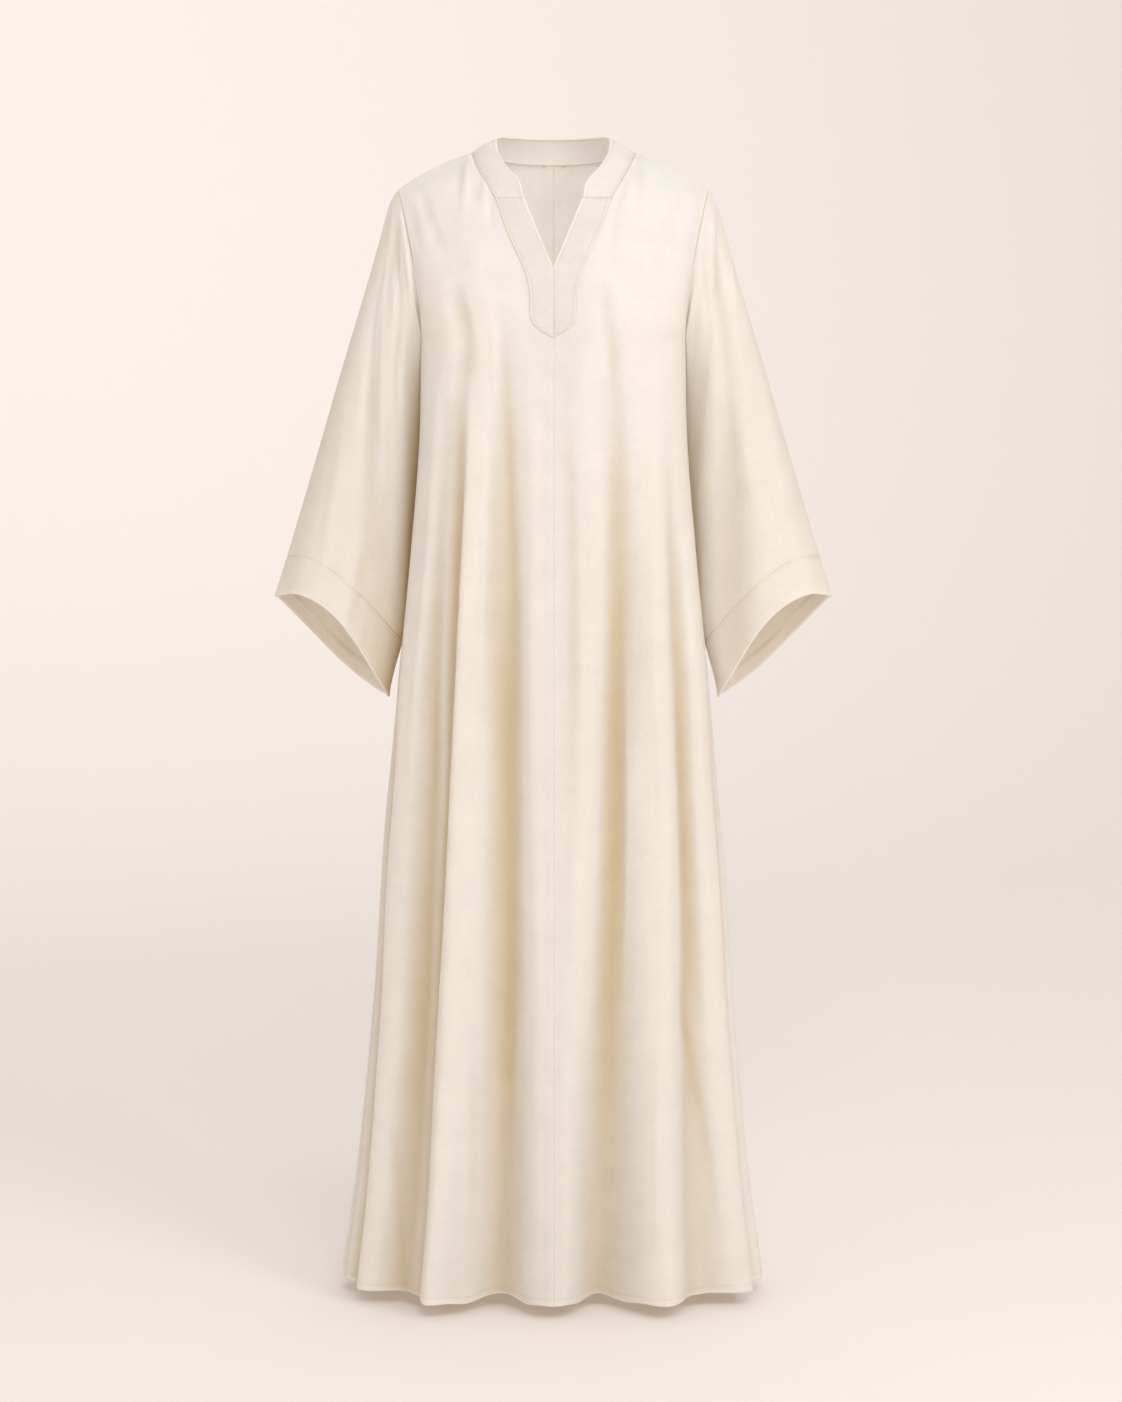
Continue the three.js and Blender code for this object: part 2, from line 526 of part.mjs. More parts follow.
/** A point of the sleeve's ring before it meets the armhole: degrees run from its outer line forwards. */
function ringPoint(degrees, share) {
  const [cos, sin] = [Math.cos(radians(degrees)), Math.sin(radians(degrees))];
  const halfX = (ring.outX(share) - ring.inX(share)) / 2;
  const halfZ = (ring.outZ(share) - ring.inZ(share)) / 2;
  const edgeY = sin > 0 ? ring.front(share) : ring.back(share);
  const y = ring.middle(share) + (edgeY - ring.middle(share)) * Math.abs(sin);
  const rise = ring.rise(share) * sin * sin * (sin > 0 ? 1 : -0.55);
  let out = 0;
  for (const fold of SLEEVE_FOLDS) {
    const low = share > 0.45;
    const t = low ? (share - 0.45) / 0.55 : share / 0.45;
    const centre = low ? fold.mid + (fold.cuff - fold.mid) * t : fold.top + (fold.mid - fold.top) * t;
    const height = low ? fold.outMid + (fold.outCuff - fold.outMid) * t
      : fold.outTop + (fold.outMid - fold.outTop) * t;
    const offset = THREE.MathUtils.euclideanModulo(degrees - centre + 180, 360) - 180;
    out += height * hump(offset, fold.halfWidth);
  }
  out *= THREE.MathUtils.smoothstep(share, 0, 0.12);
  const chord = Math.hypot(halfX, halfZ);
  return new THREE.Vector3(
    ring.outX(share) - halfX + (halfX + (out * halfX) / chord) * cos,
    y - out * sin,
    ring.outZ(share) - halfZ + (halfZ + (out * halfZ) / chord) * cos + rise,
  );
}

/** The panel and the height up its armhole that the sleeve meets at a part of the way round. */
function armholePlace(round) {
  const panel = round <= 0.5 ? 'front' : 'back';
  const row = Math.abs(1 - 2 * round) * YOKE_ROW_COUNT;
  const ups = YOKE_UPS[panel];
  const i = Math.min(Math.floor(row), YOKE_ROW_COUNT - 1);
  return { panel, up: ups[i] + (ups[i + 1] - ups[i]) * (row - i) };
}

/** A point of the sleeve: round from 0 to 1, starting at its outer line and going forwards. */
function sleevePoint(side, round, share) {
  const way = THREE.MathUtils.euclideanModulo(round, 1);
  const degrees = way * 360;
  const point = ringPoint(degrees, share);
  const { panel, up } = armholePlace(way);
  const onArmhole = bodyPoint(panel, 1, 1, up);
  const leaving = 1 - THREE.MathUtils.smoothstep(share, 0, 0.32);
  point.addScaledVector(onArmhole.sub(ringPoint(degrees, 0)), leaving);
  if (point.z < ARMPIT_Z && Math.abs(degrees - 180) < 110) {
    const limit = bodySideX(point.y, point.z) + SLEEVE_CLEARANCE;
    const over = point.x - limit;
    point.x = limit + (over + Math.hypot(over, SLEEVE_CLEARANCE)) / 2;
  }
  point.x *= side;
  return point;
}

const sleeveNormal = (side, round, share) => {
  const centre = ringPoint(0, share).add(ringPoint(180, share)).multiplyScalar(0.5);
  centre.x *= side;
  const outward = sleevePoint(side, round, share).sub(centre);
  const at = THREE.MathUtils.clamp(share, 0.01, 0.998);
  return normalOf((r, s) => sleevePoint(side, r, s), round, at, outward);
};

const seamShare = (round) =>
  CUFF_SEAM.outer + (CUFF_SEAM.inner - CUFF_SEAM.outer) * (1 - Math.cos(2 * Math.PI * round)) / 2;

/** A tube between two shares of the sleeve's length, each a function of the way round. */
function sleeveFaces(side, rows, shareAt) {
  const faces = [[], []];
  grid(rows, SLEEVE_COLUMNS, (down, round) => ({ round, share: shareAt(down, round) })).forEach((row) => {
    faces[0].push(row.map(({ round, share }) => sleevePoint(side, round, share)));
    faces[1].push(row.map(({ round, share }) => sleevePoint(side, round, share)
      .addScaledVector(sleeveNormal(side, round, share), -CLOTH_WALL)));
  });
  return faces;
}

/** Keeps the sleeve's first ring a seam's gap off the armhole's edge. */
function seatOnArmhole(side, faces) {
  const [outer, inner] = faces;
  outer[0].forEach((point, j) => {
    const { panel, up } = armholePlace(j / SLEEVE_COLUMNS);
    const seam = point.clone();
    const edge = bodyPoint(panel, side, 1, Math.min(up + 0.02, 1));
    edge.sub(bodyPoint(panel, side, 1, Math.max(up - 0.02, 0)));
    const normal = bodyNormal(panel, side, 1, Math.max(up, 0.02));
    const away = normal.clone().cross(edge).normalize();
    if (away.dot(seam.clone().sub(bodyPoint(panel, side, 0.9, up - 0.08))) < 0) away.negate();
    const shift = away.clone().multiplyScalar(SEAM_GAP).addScaledVector(normal, 2 * SEAM_GAP * (1 - up));
    point.add(shift);
    inner[0][j].add(shift);
    const short = SEAM_GAP - inner[0][j].clone().sub(seam).dot(away);
    inner[0][j].addScaledVector(away, Math.max(short, 0));
  });
}

function makeSleeve(side, name) {
  const faces = sleeveFaces(side, SLEEVE_ROWS, (down, round) => seamShare(round) * down ** 1.3);
  seatOnArmhole(side, faces);
  inset(faces, 'last row', SEAM_GAP / 2);
  return clothWall(name, faces[0], faces[1], true);
}

function makeCuff(side, name) {
  const shareAt = (down, round) => seamShare(round) + (1 - seamShare(round)) * down;
  const faces = sleeveFaces(side, CUFF_ROWS, shareAt);
  inset(faces, 'first row', SEAM_GAP / 2);
  return clothWall(name, faces[0], faces[1], true);
}

// ---- The whole garment --------------------------------------------------------------------------

const kaftan = new THREE.Group();
kaftan.add(makeCollar());
for (const [side, word] of [[-1, 'left'], [1, 'right']]) {
  kaftan.add(makePanel('front', side, `front_${word}`));
  kaftan.add(makePanel('back', side, `back_${word}`));
  kaftan.add(makeBand(side, `band_${word}`));
  kaftan.add(makeSleeve(side, `sleeve_${word}`));
  kaftan.add(makeCuff(side, `cuff_${word}`));
}

export default kaftan;
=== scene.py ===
"""Dresses the maxi kaftan: thin cream crepe with its folds, seams, turned edges and stitching."""
import math

import bpy
import numpy as np
from bpy.props import FloatProperty, FloatVectorProperty, PointerProperty
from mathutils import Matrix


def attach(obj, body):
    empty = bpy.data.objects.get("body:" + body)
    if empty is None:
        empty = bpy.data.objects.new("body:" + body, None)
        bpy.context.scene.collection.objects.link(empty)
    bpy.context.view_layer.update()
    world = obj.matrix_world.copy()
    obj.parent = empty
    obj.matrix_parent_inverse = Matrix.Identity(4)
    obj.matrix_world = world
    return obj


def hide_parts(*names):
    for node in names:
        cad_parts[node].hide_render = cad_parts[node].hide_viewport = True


bl_info = {
    "name": "Maxi Kaftan",
    "version": (1, 0, 0),
    "blender": (4, 5, 0),
    "location": "View3D > Sidebar > Kaftan",
    "description": "Builds an ankle-length crepe kaftan with a stand collar, a neck band and bell sleeves",
    "category": "Object",
}

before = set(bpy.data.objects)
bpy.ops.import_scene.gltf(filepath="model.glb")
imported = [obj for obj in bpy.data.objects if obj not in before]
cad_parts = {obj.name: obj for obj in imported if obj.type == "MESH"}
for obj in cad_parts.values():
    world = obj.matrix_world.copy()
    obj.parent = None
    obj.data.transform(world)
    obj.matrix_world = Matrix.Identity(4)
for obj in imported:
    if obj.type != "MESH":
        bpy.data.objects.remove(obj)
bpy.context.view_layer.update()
BODY = "root"
SIDES = ((-1, "left"), (1, "right"))

# ---- The kaftan's form, in millimetres: the same surface as its solids -------------------------


def rows(names, *values):
    """A table: one named column of numbers for each word."""
    return dict(zip(names.split(), np.array(values, float).T))


HEM_Z = -1436.0
ARMPIT_Z = -236.0
NECK_BAND_TOP_Z = -63.0
V_POINT_Z = -150.0
V_TOP_HALF_WIDTH = 36.0
FOLD_MIDDLE_Z = -800.0
# How sharply a row of the yoke falls away towards the shoulder point.
SHOULDER_DROP = 2.5
# The sleeve keeps off the body, leans in towards it, and its front inner side tucks behind.
SLEEVE_CLEARANCE = 0.5
SLEEVE_LEAN = 12.0
SLEEVE_TUCK = 12.0
# Where the front's hem hangs lower: the place along X, the half width, and how far down.
HEM_SWINGS = [(-106, 30, 4.5), (-38, 22, 3.5), (34, 22, 3.5), (84, 34, 6.5)]
# Millimetres in a metre, and from the armpit to the hem.
MM = 1000.0
SKIRT_LENGTH = ARMPIT_Z - HEM_Z
# Thickness of the doubled collar and cuffs, in walls of cloth.
COLLAR_LAYERS = 1.7
CUFF_LAYERS = 1.5
# How far the collar's front end stands out to meet the band, and how far down the band rises to it.
COLLAR_FLUSH = 1.6
FLUSH_REACH = 46.0
# Rows of stitches, by their distance from the band's outer edge, from the edges of the V and the collar,
# and from the cuff's seam, and how far up from the cuff's edge its facing ends.
BAND_STITCH = 3.6
NECK_STITCH = 3.4
CUFF_STITCH = 3.2
CUFF_FACING = 20.0

# Level sections of the body below the armpit.
BODY_SECTIONS = rows(
    "z half_width front back side_y power",
    (-1436, 270, 121, 150, 2, 1.00),
    (-1398, 265, 121, 148, 2, 1.00),
    (-1321, 254, 120, 144, 3, 1.00),
    (-1207, 242, 119, 138, 4, 1.00),
    (-1054, 229, 118, 131, 5, 1.00),
    (-901, 219, 117, 124, 6, 0.98),
    (-771, 207, 117, 119, 7, 0.92),
    (-655, 200, 117, 114, 8, 0.86),
    (-505, 186, 119, 110, 8, 0.79),
    (-356, 172, 121, 107, 8, 0.70),
    (-236, 167, 121, 105, 8, 0.66),
)
# Rows from the armpit up to the shoulder seam: the centre line, the armhole's point, and the bend.
FRONT_YOKE = rows(
    "z y arm_x arm_y arm_z arc power",
    (-236, -121, 167, 8, -236, 90, 0.66),
    (-206, -120.5, 166.6, -22, -224, 86, 0.70),
    (-172, -118.5, 167.3, -41, -202, 80, 0.77),
    (-140, -113, 169.5, -50, -174, 76, 0.85),
    (-105, -104, 173.5, -51, -145, 73, 0.93),
    (-70, -90, 179, -46, -116, 70, 0.98),
    (-38, -70, 184.5, -36, -90, 67, 1.00),
    (-12, -44, 190, -22, -67, 63, 1.00),
    (11.5, 5, 196, 5, -46, 60, 1.00),
)
BACK_YOKE = rows(
    "z y arm_x arm_y arm_z arc power",
    (-236, 105, 167, 8, -236, 90, 0.66),
    (-204, 107, 168, 33, -222, 84, 0.71),
    (-165, 109.5, 171, 51, -192, 78, 0.78),
    (-120, 110.5, 176, 58, -152, 73, 0.86),
    (-75, 108, 182, 55, -115, 69, 0.93),
    (-35, 99, 188, 43, -84, 66, 0.98),
    (-9, 88, 192, 30, -65, 63, 1.00),
    (1, 68, 194.5, 17, -54, 61, 1.00),
    (11.5, 5, 196, 5, -46, 60, 1.00),
)
FRONT_NECKLINE = rows("z half_width", (-63, 71), (-42, 83), (-20, 95), (0, 103))
BACK_NECKLINE = rows("z half_width", (-9, 0), (-8, 32), (-5, 66), (-2, 90), (0, 103))
# Lengthwise folds. Places count quarter turns from the centre front, to the right above nought.
FOLDS = rows(
    "top mid hem start out_mid out_hem left right",
    (-0.33, -0.36, -0.37, -215, 19, 40, 0.07, 0.15),
    (-0.52, -0.52, -0.51, -240, -9, -13, 0.14, 0.08),
    (-0.20, -0.165, -0.165, -260, -12, -34, 0.12, 0.12),
    (-0.03, -0.035, 0.00, -300, 8, 24, 0.13, 0.13),
    (0.29, 0.24, 0.155, -240, -17, -39, 0.14, 0.13),
    (0.45, 0.44, 0.33, -260, 11, 42, 0.14, 0.13),
    (0.60, 0.58, 0.55, -380, -5, -4, 0.10, 0.10),
    (0.74, 0.73, 0.68, -420, 7, 22, 0.20, 0.09),
    (-0.78, -0.76, -0.69, -420, 5, 13, 0.08, 0.16),
    (-0.90, -0.88, -0.83, -640, -3, -12, 0.12, 0.10),
    (0.90, 0.88, 0.82, -640, -3, -14, 0.10, 0.12),
    (1.30, 1.27, 1.22, -430, -12, -26, 0.12, 0.16),
    (1.50, 1.48, 1.46, -300, 11, 26, 0.16, 0.10),
    (1.72, 1.70, 1.67, -280, -13, -32, 0.13, 0.14),
    (1.95, 1.92, 1.90, -260, 10, 24, 0.15, 0.16),
    (-1.82, -1.84, -1.86, -290, -10, -28, 0.13, 0.12),
    (-1.62, -1.60, -1.62, -330, 13, 30, 0.12, 0.17),
    (-1.38, -1.37, -1.37, -280, -12, -30, 0.15, 0.13),
    (-1.16, -1.17, -1.18, -520, 5, 17, 0.14, 0.12),
)
BUST = {"x": 84, "z": -200, "radius": 90, "out": 4}
SLEEVE_HOLLOW = {"at": 1.14, "half_width": 0.42, "depth": 11, "top_z": -236, "bottom_z": -760}
SLEEVE_RINGS = rows(
    "share out_x out_z in_x in_z middle front back rise",
    (0, 196, -46, 167, -236, 6, -51, 60, 0),
    (0.035, 206, -64, 171, -252, 6, -54, 64, 1),
    (0.11, 217.5, -104, 173, -285, 8, -56, 70, 2),
    (0.25, 239, -177, 177, -348, 11, -58, 78, 5),
    (0.45, 271, -281, 186, -438, 15, -56, 85, 11),
    (0.65, 302, -385, 194, -527, 18, -55, 91, 19),
    (0.85, 334, -490, 200, -617, 20, -55, 96, 30),
    (1, 355.5, -558, 206, -686, 20, -57, 98, 48),
)
CUFF_SEAM = {"outer": 0.886, "inner": 0.845}
SLEEVE_FOLDS = rows(
    "top mid cuff out_top out_mid out_cuff half_width",
    (52, 98, 132, -5, -9, -6, 30),
    (95, 138, 165, 1, 5, 2, 24),
    (20, 40, 62, 0, 4, 3, 30),
    (300, 285, 262, -3, -8, -6, 28),
    (250, 236, 222, 0, 5, 4, 24),
    (335, 325, 318, 0, 3, 4, 24),
)
COLLAR_TOP = rows(
    "share x y z",
    (0, 36.5, -88, -62.96),
    (0.06, 38.5, -88, -50),
    (0.14, 44, -82, -38),
    (0.26, 57, -66, -23),
    (0.38, 68, -42, -4),
    (0.50, 71, -10, 14),
    (0.62, 67, 24, 22),
    (0.74, 54, 50, 24),
    (0.87, 30, 66, 24),
    (1, 0, 72, 24),
)
BAND_OUTLINE = rows(
    "z half_width",
    (-63.04, 71),
    (-89, 63),
    (-121, 50),
    (-145, 39),
    (-163, 32.5),
    (-182, 29.4),
    (-213, 27.4),
    (-222, 21),
    (-235, 0.8),
)

# Small creases on top of the folds, one by one: how far it stands out, its half widths to the left
# and the right, and its line as (x, z) from top to bottom, seen from the front.
CREASES = {
    "front": [
        # left shoulder, drawn from the collar seam and the shoulder point
        (-1.9, 14, 12, [(-166, -38), (-156, -75), (-142, -112), (-130, -150)]),
        (-1.3, 10, 10, [(-178, -52), (-173, -92), (-160, -145)]),
        (1.9, 10, 12, [(-103, 12), (-108, -38), (-111, -95)]),
        (-1.6, 9, 9, [(-113, 2), (-115, -30), (-118, -80)]),
        (-1.7, 8, 8, [(-92, -12), (-92.5, -50), (-94, -80)]),
        (-0.8, 6, 6, [(-78, -40), (-76, -75), (-75, -110)]),
        (1, 9, 9, [(-85, -25), (-84, -62), (-83, -105)]),
        (-1.6, 30, 24, [(-128, -85), (-112, -150), (-102, -215), (-100, -270)]),
        # right shoulder
        (-1.2, 9, 9, [(99, 2), (106, -28), (110, -60)]),
        (1.3, 10, 10, [(94, -8), (97, -45), (96, -85)]),
        (-1.6, 9, 10, [(90, -30), (81, -70), (76, -110), (74, -140)]),
        (-0.8, 9, 10, [(72, -50), (62, -95), (58, -130)]),
        (0.9, 14, 14, [(174, -40), (168, -78), (160, -120)]),
        # under the chest
        (-4.2, 24, 15, [(-126, -150), (-116, -190), (-106, -240), (-107, -330)]),
        (-2.6, 14, 16, [(64, -150), (66, -195), (72, -250), (78, -330)]),
        (1.3, 6, 10, [(-78, -190), (-74, -250), (-73, -330)]),
        (1.3, 5, 9, [(48, -225), (36, -290), (20, -350)]),
        (-1.2, 8, 8, [(-36, -220), (-36, -330), (-34, -480)]),
        (-1.5, 10, 10, [(12, -240), (13, -400), (12, -700), (10, -980)]),
        (1.3, 8, 10, [(-24, -260), (-26, -420), (-29, -640), (-27, -900)]),
        # broad soft troughs that start the skirt's folds
        (-7.0, 34, 26, [(-60, -150), (-58, -240), (-54, -380), (-49, -560), (-52, -760), (-54, -1000)]),
        (-7.0, 34, 24, [(84, -170), (81, -280), (78, -430), (78, -640), (78, -900), (74, -1120)]),
        (-6.0, 30, 14, [(-112, -190), (-114, -300), (-119, -430), (-126, -600), (-136, -800), (-146, -1040)]),
        (-4.2, 28, 20, [(150, -380), (158, -560), (166, -760), (176, -960), (192, -1150)]),
        (3.0, 20, 24, [(-16, -230), (-14, -420), (-10, -640), (-8, -860)]),
        (3.0, 22, 24, [(120, -260), (124, -420), (126, -640), (134, -860)]),
        (-2.6, 12, 10, [(22, -300), (24, -460), (26, -640), (24, -820)]),
        (2.2, 9, 12, [(44, -330), (46, -500), (48, -700), (46, -940)]),
        # long fine ridges and troughs of the skirt
        (2.2, 7, 16, [(-136, -225), (-148, -370), (-158, -520), (-174, -680), (-188, -830)]),
        (5.0, 6, 24, [(-98, -240), (-104, -380), (-112, -520), (-120, -680), (-127, -860), (-135, -1020),
                      (-150, -1220), (-168, -1436), (-170, -1500)]),
        (-3.5, 16, 6, [(-107, -230), (-113, -400), (-122, -560), (-131, -760), (-141, -960), (-155, -1180)]),
        (-1.8, 9, 9, [(-62, -230), (-56, -380), (-52, -560), (-50, -760)]),
        (1.4, 5, 8, [(-84, -300), (-86, -480), (-90, -700)]),
        (1.6, 5, 7, [(90, -500), (91, -700), (91, -900), (86, -1150)]),
        (-2.0, 10, 12, [(144, -330), (146, -480), (152, -640), (158, -820)]),
        (1.4, 7, 9, [(122, -480), (126, -640), (133, -800), (140, -960)]),
        (1.3, 6, 9, [(176, -560), (184, -720), (194, -900)]),
        (1.5, 6, 8, [(-207, -700), (-215, -900), (-222, -1080)]),
        # near the hem
        (-2.4, 12, 10, [(150, -980), (172, -1120), (196, -1270), (212, -1400)]),
        (1.8, 7, 9, [(130, -1100), (128, -1250), (130, -1420)]),
        (-1.6, 8, 8, [(-208, -1180), (-196, -1300), (-190, -1436), (-190, -1500)]),
        (1.2, 8, 8, [(-40, -1020), (-46, -1200), (-56, -1380)]),
        (-1.3, 10, 10, [(-100, -1060), (-98, -1230), (-104, -1400)]),
    ],
    "back": [
        (-3.0, 12, 10, [(-128, -40), (-118, -90), (-112, -160), (-112, -220)]),
        (-2.6, 10, 11, [(132, -42), (122, -95), (110, -150), (104, -230)]),
        (2.0, 9, 9, [(-76, -20), (-84, -80), (-92, -150)]),
        (-1.8, 7, 7, [(60, -12), (64, -60), (72, -120)]),
        (-2.0, 12, 12, [(-30, -30), (-34, -110), (-36, -220)]),
        (1.6, 9, 9, [(24, -40), (27, -130), (26, -240)]),
        (-2.8, 14, 12, [(-82, -240), (-84, -420), (-92, -640), (-100, -860)]),
        (2.0, 8, 12, [(88, -250), (90, -440), (97, -660), (108, -900)]),
        (-2.2, 10, 10, [(42, -330), (45, -560), (52, -800)]),
        (1.8, 7, 10, [(-128, -420), (-138, -660), (-150, -920)]),
        (1.6, 8, 8, [(150, -520), (162, -760), (176, -1000)]),
        (-1.8, 10, 10, [(-10, -420), (-13, -700), (-14, -980)]),
        (2.0, 8, 12, [(-176, -980), (-190, -1200), (-206, -1420)]),
        (-1.8, 9, 9, [(124, -1000), (130, -1200), (140, -1400)]),
    ],
    "sleeve_front": [
        # left sleeve
        (-4.2, 8, 8, [(-195, -50), (-197, -106), (-194, -154), (-190, -215), (-195, -287), (-192, -370)]),
        (3.2, 7, 6, [(-191, -60), (-184, -110), (-178, -165), (-176, -230)]),
        (-4.0, 17, 8, [(-206, -80), (-216, -150), (-223, -192), (-227, -259), (-229, -343), (-229, -470)]),
        (2.6, 5, 12, [(-200, -84), (-209, -160), (-214, -250), (-216, -360), (-217, -480)]),
        (-1.8, 4, 4, [(-203, -52), (-208, -80), (-213, -120)]),
        (1.8, 4, 4, [(-207, -50), (-213, -84), (-219, -120)]),
        (2.6, 14, 16, [(-252, -300), (-268, -400), (-286, -500), (-300, -590)]),
        (-1.6, 12, 12, [(-240, -330), (-250, -430), (-262, -530)]),
        (-2.0, 12, 12, [(-232, -480), (-246, -560), (-262, -640)]),
        # right sleeve
        (-2.0, 10, 12, [(196, -86), (191, -130), (190, -170), (194, -205), (189, -260), (181, -345),
                        (180, -420)]),
        (-2.2, 10, 12, [(209, -66), (208, -110), (204, -160), (198, -215)]),
        (3.4, 8, 8, [(199, -62), (198, -120), (198, -165), (196, -195)]),
        (1.8, 5, 6, [(208, -56), (219, -110), (226, -180), (230, -250)]),
        (-1.4, 5, 5, [(214, -60), (224, -110), (231, -170)]),
        (-2.0, 16, 16, [(246, -220), (258, -300), (276, -400)]),
        (2.2, 14, 14, [(226, -270), (238, -370), (252, -480)]),
        (-2.0, 12, 12, [(270, -400), (288, -480), (302, -560)]),
    ],
    "sleeve_back": [
        (-3.6, 10, 10, [(-190, -60), (-198, -120), (-208, -190), (-222, -300)]),
        (2.4, 9, 9, [(-204, -70), (-218, -150), (-236, -260)]),
        (-2.4, 14, 12, [(-224, -300), (-244, -420), (-262, -540)]),
        (-3.4, 10, 10, [(192, -64), (199, -130), (206, -200), (218, -300)]),
        (2.4, 9, 9, [(206, -76), (222, -160), (240, -270)]),
        (-2.6, 12, 14, [(230, -310), (250, -430), (272, -550)]),
    ],
}


# ---- Small tools -------------------------------------------------------------------------------


def curve(table, key, column):
    """A smooth curve through one column of a table, by its key column."""
    order = np.argsort(table[key])
    places, values = table[key][order], table[column][order]
    last = len(places) - 1
    before, after = np.maximum(np.arange(last + 1) - 1, 0), np.minimum(np.arange(last + 1) + 1, last)
    slopes = (values[after] - values[before]) / (places[after] - places[before])

    def at(place):
        place = np.clip(place, places[0], places[-1])
        i = np.clip(np.searchsorted(places, place) - 1, 0, last - 1)
        span = places[i + 1] - places[i]
        t = (place - places[i]) / span
        return (
            (2 * t**3 - 3 * t**2 + 1) * values[i]
            + (t**3 - 2 * t**2 + t) * span * slopes[i]
            + (3 * t**2 - 2 * t**3) * values[i + 1]
            + (t**3 - t**2) * span * slopes[i + 1]
        )

    return at


def curves(table, key):
    """Curves through all the columns of a table, by its key column."""
    return {name: curve(table, key, name) for name in table if name != key}


def smooth(value, low, high):
    """Rises smoothly from nought at the low value to one at the high value."""
    t = np.clip((value - low) / (high - low), 0, 1)
    return t * t * (3 - 2 * t)


def hump(offset, half_width):
    """One in the middle, nought from one half width away."""
    return np.where(np.abs(offset) < half_width, np.cos(math.pi / 2 * offset / half_width) ** 2, 0.0)


def squared(ratio, power):
    """A power that keeps the sign: below one it squares a curve's corner."""
    return np.sign(ratio) * np.abs(ratio) ** power


def solve(rising, low, high):
    """Where a rising function of an array crosses nought, between two arrays."""
    low, high = np.array(low, float), np.array(high, float)
    for _ in range(34):
        middle = (low + high) / 2
        above = rising(middle) > 0
        low, high = np.where(above, low, middle), np.where(above, middle, high)
    return (low + high) / 2


def unit(vectors):
    return vectors / np.maximum(np.linalg.norm(vectors, axis=-1, keepdims=True), 1e-9)


def steps_from_edges(width, fine, middle):
    """Places across a strip: fine steps at its two edges and a number of even ones between."""
    even = np.linspace(fine[-1], width - fine[-1], middle + 2)[1:-1]
    return np.concatenate([fine, even, width - fine[::-1]])


CREASE_LINES = {
    panel: [
        (out, left, right, points[0][1], points[-1][1], curve(rows("x z", *points), "z", "x"))
        for out, left, right, points in creases
    ]
    for panel, creases in CREASES.items()
}


def creases_out(panel, x, z):
    """How far the small creases of a panel move the cloth out."""
    total = np.zeros(np.broadcast(x, z).shape)
    for out, left, right, top, bottom, line in CREASE_LINES[panel]:
        down = (top - z) / (top - bottom)
        fade = smooth(down, 0, 0.3) * (1 - smooth(down, 0.6, 1))
        offset = x - line(z)
        total += out * fade * hump(offset, np.where(offset < 0, left, right))
    return total


# ---- The body's surface ------------------------------------------------------------------------

section = curves(BODY_SECTIONS, "z")
yoke = {}
for panel_name, yoke_rows in (("front", FRONT_YOKE), ("back", BACK_YOKE)):
    shares = np.linspace(0, 1, len(yoke_rows["z"]))
    yoke[panel_name] = curves({**yoke_rows, "share": shares}, "share")
neck_half_width = {
    "front": curve(FRONT_NECKLINE, "z", "half_width"),
    "back": curve(BACK_NECKLINE, "z", "half_width"),
}


def fold_out(place, z):
    """How far the lengthwise folds move the cloth out at a place round the body."""
    out = np.zeros(np.broadcast(place, z).shape)
    for i in range(len(FOLDS["top"])):
        fold = {name: column[i] for name, column in FOLDS.items()}
        down = np.clip((fold["start"] - z) / (fold["start"] - FOLD_MIDDLE_Z), 0, 1)
        low = np.clip((FOLD_MIDDLE_Z - z) / (FOLD_MIDDLE_Z - HEM_Z), 0, 1)
        centre = fold["top"] + (fold["mid"] - fold["top"]) * down + (fold["hem"] - fold["mid"]) * low
        height = fold["out_mid"] * smooth(down, 0, 1) + (fold["out_hem"] - fold["out_mid"]) * low
        offset = np.mod(place - centre + 2, 4) - 2
        out += height * hump(offset, np.where(offset < 0, fold["left"], fold["right"]))
    hollow = SLEEVE_HOLLOW
    middle = (hollow["top_z"] + hollow["bottom_z"]) / 2
    reach = (hollow["top_z"] - hollow["bottom_z"]) / 2
    along = hump(z - middle, reach) ** 0.6
    return out - hollow["depth"] * along * hump(np.abs(place) - hollow["at"], hollow["half_width"])


def plain_point(panel, side, across, up):
    """The body without its small creases: across runs from the centre line to the side, up from -1 at
    the hem over 0 at the armpit to 1 at the shoulder seam."""
    across, up = np.broadcast_arrays(np.asarray(across, float), np.asarray(up, float))
    front = panel == "front"
    # below the armpit
    low = np.minimum(up, 0)
    z_low = ARMPIT_Z + (ARMPIT_Z - HEM_Z) * low
    angle = math.pi / 2 * across
    depth = -section["front"](z_low) if front else section["back"](z_low)
    half_width, side_y, power = (section[name](z_low) for name in ("half_width", "side_y", "power"))
    reach = depth - side_y
    place = side * (across if front else 2 - across)
    out_x, out_y = np.sin(angle) * np.abs(reach), np.cos(angle) * half_width * np.sign(reach)
    out = fold_out(place, z_low) / np.hypot(out_x, out_y)
    x_low = half_width * squared(np.sin(angle), power) + out * out_x
    y_low = side_y + reach * squared(np.cos(angle), power) + out * out_y
    # above it
    row = {name: column(np.clip(up, 0, 1)) for name, column in yoke[panel].items()}
    arc = np.radians(row["arc"])
    x_high = row["arm_x"] * squared(np.sin(arc * across) / np.sin(arc), row["power"])
    fall = np.abs(x_high / row["arm_x"]) ** SHOULDER_DROP
    z_high = row["z"] + (row["arm_z"] - row["z"]) * fall
    flat = squared((np.cos(arc * across) - np.cos(arc)) / (1 - np.cos(arc)), row["power"])
    y_high = row["arm_y"] + (row["y"] - row["arm_y"]) * flat
    x = np.where(up < 0, x_low, x_high)
    y = np.where(up < 0, y_low, y_high)
    z = np.where(up < 0, z_low, z_high)
    if front:
        y = y - BUST["out"] * hump(np.hypot(x - BUST["x"], z - BUST["z"]), BUST["radius"])
    return np.stack([side * x, y, z], axis=-1)


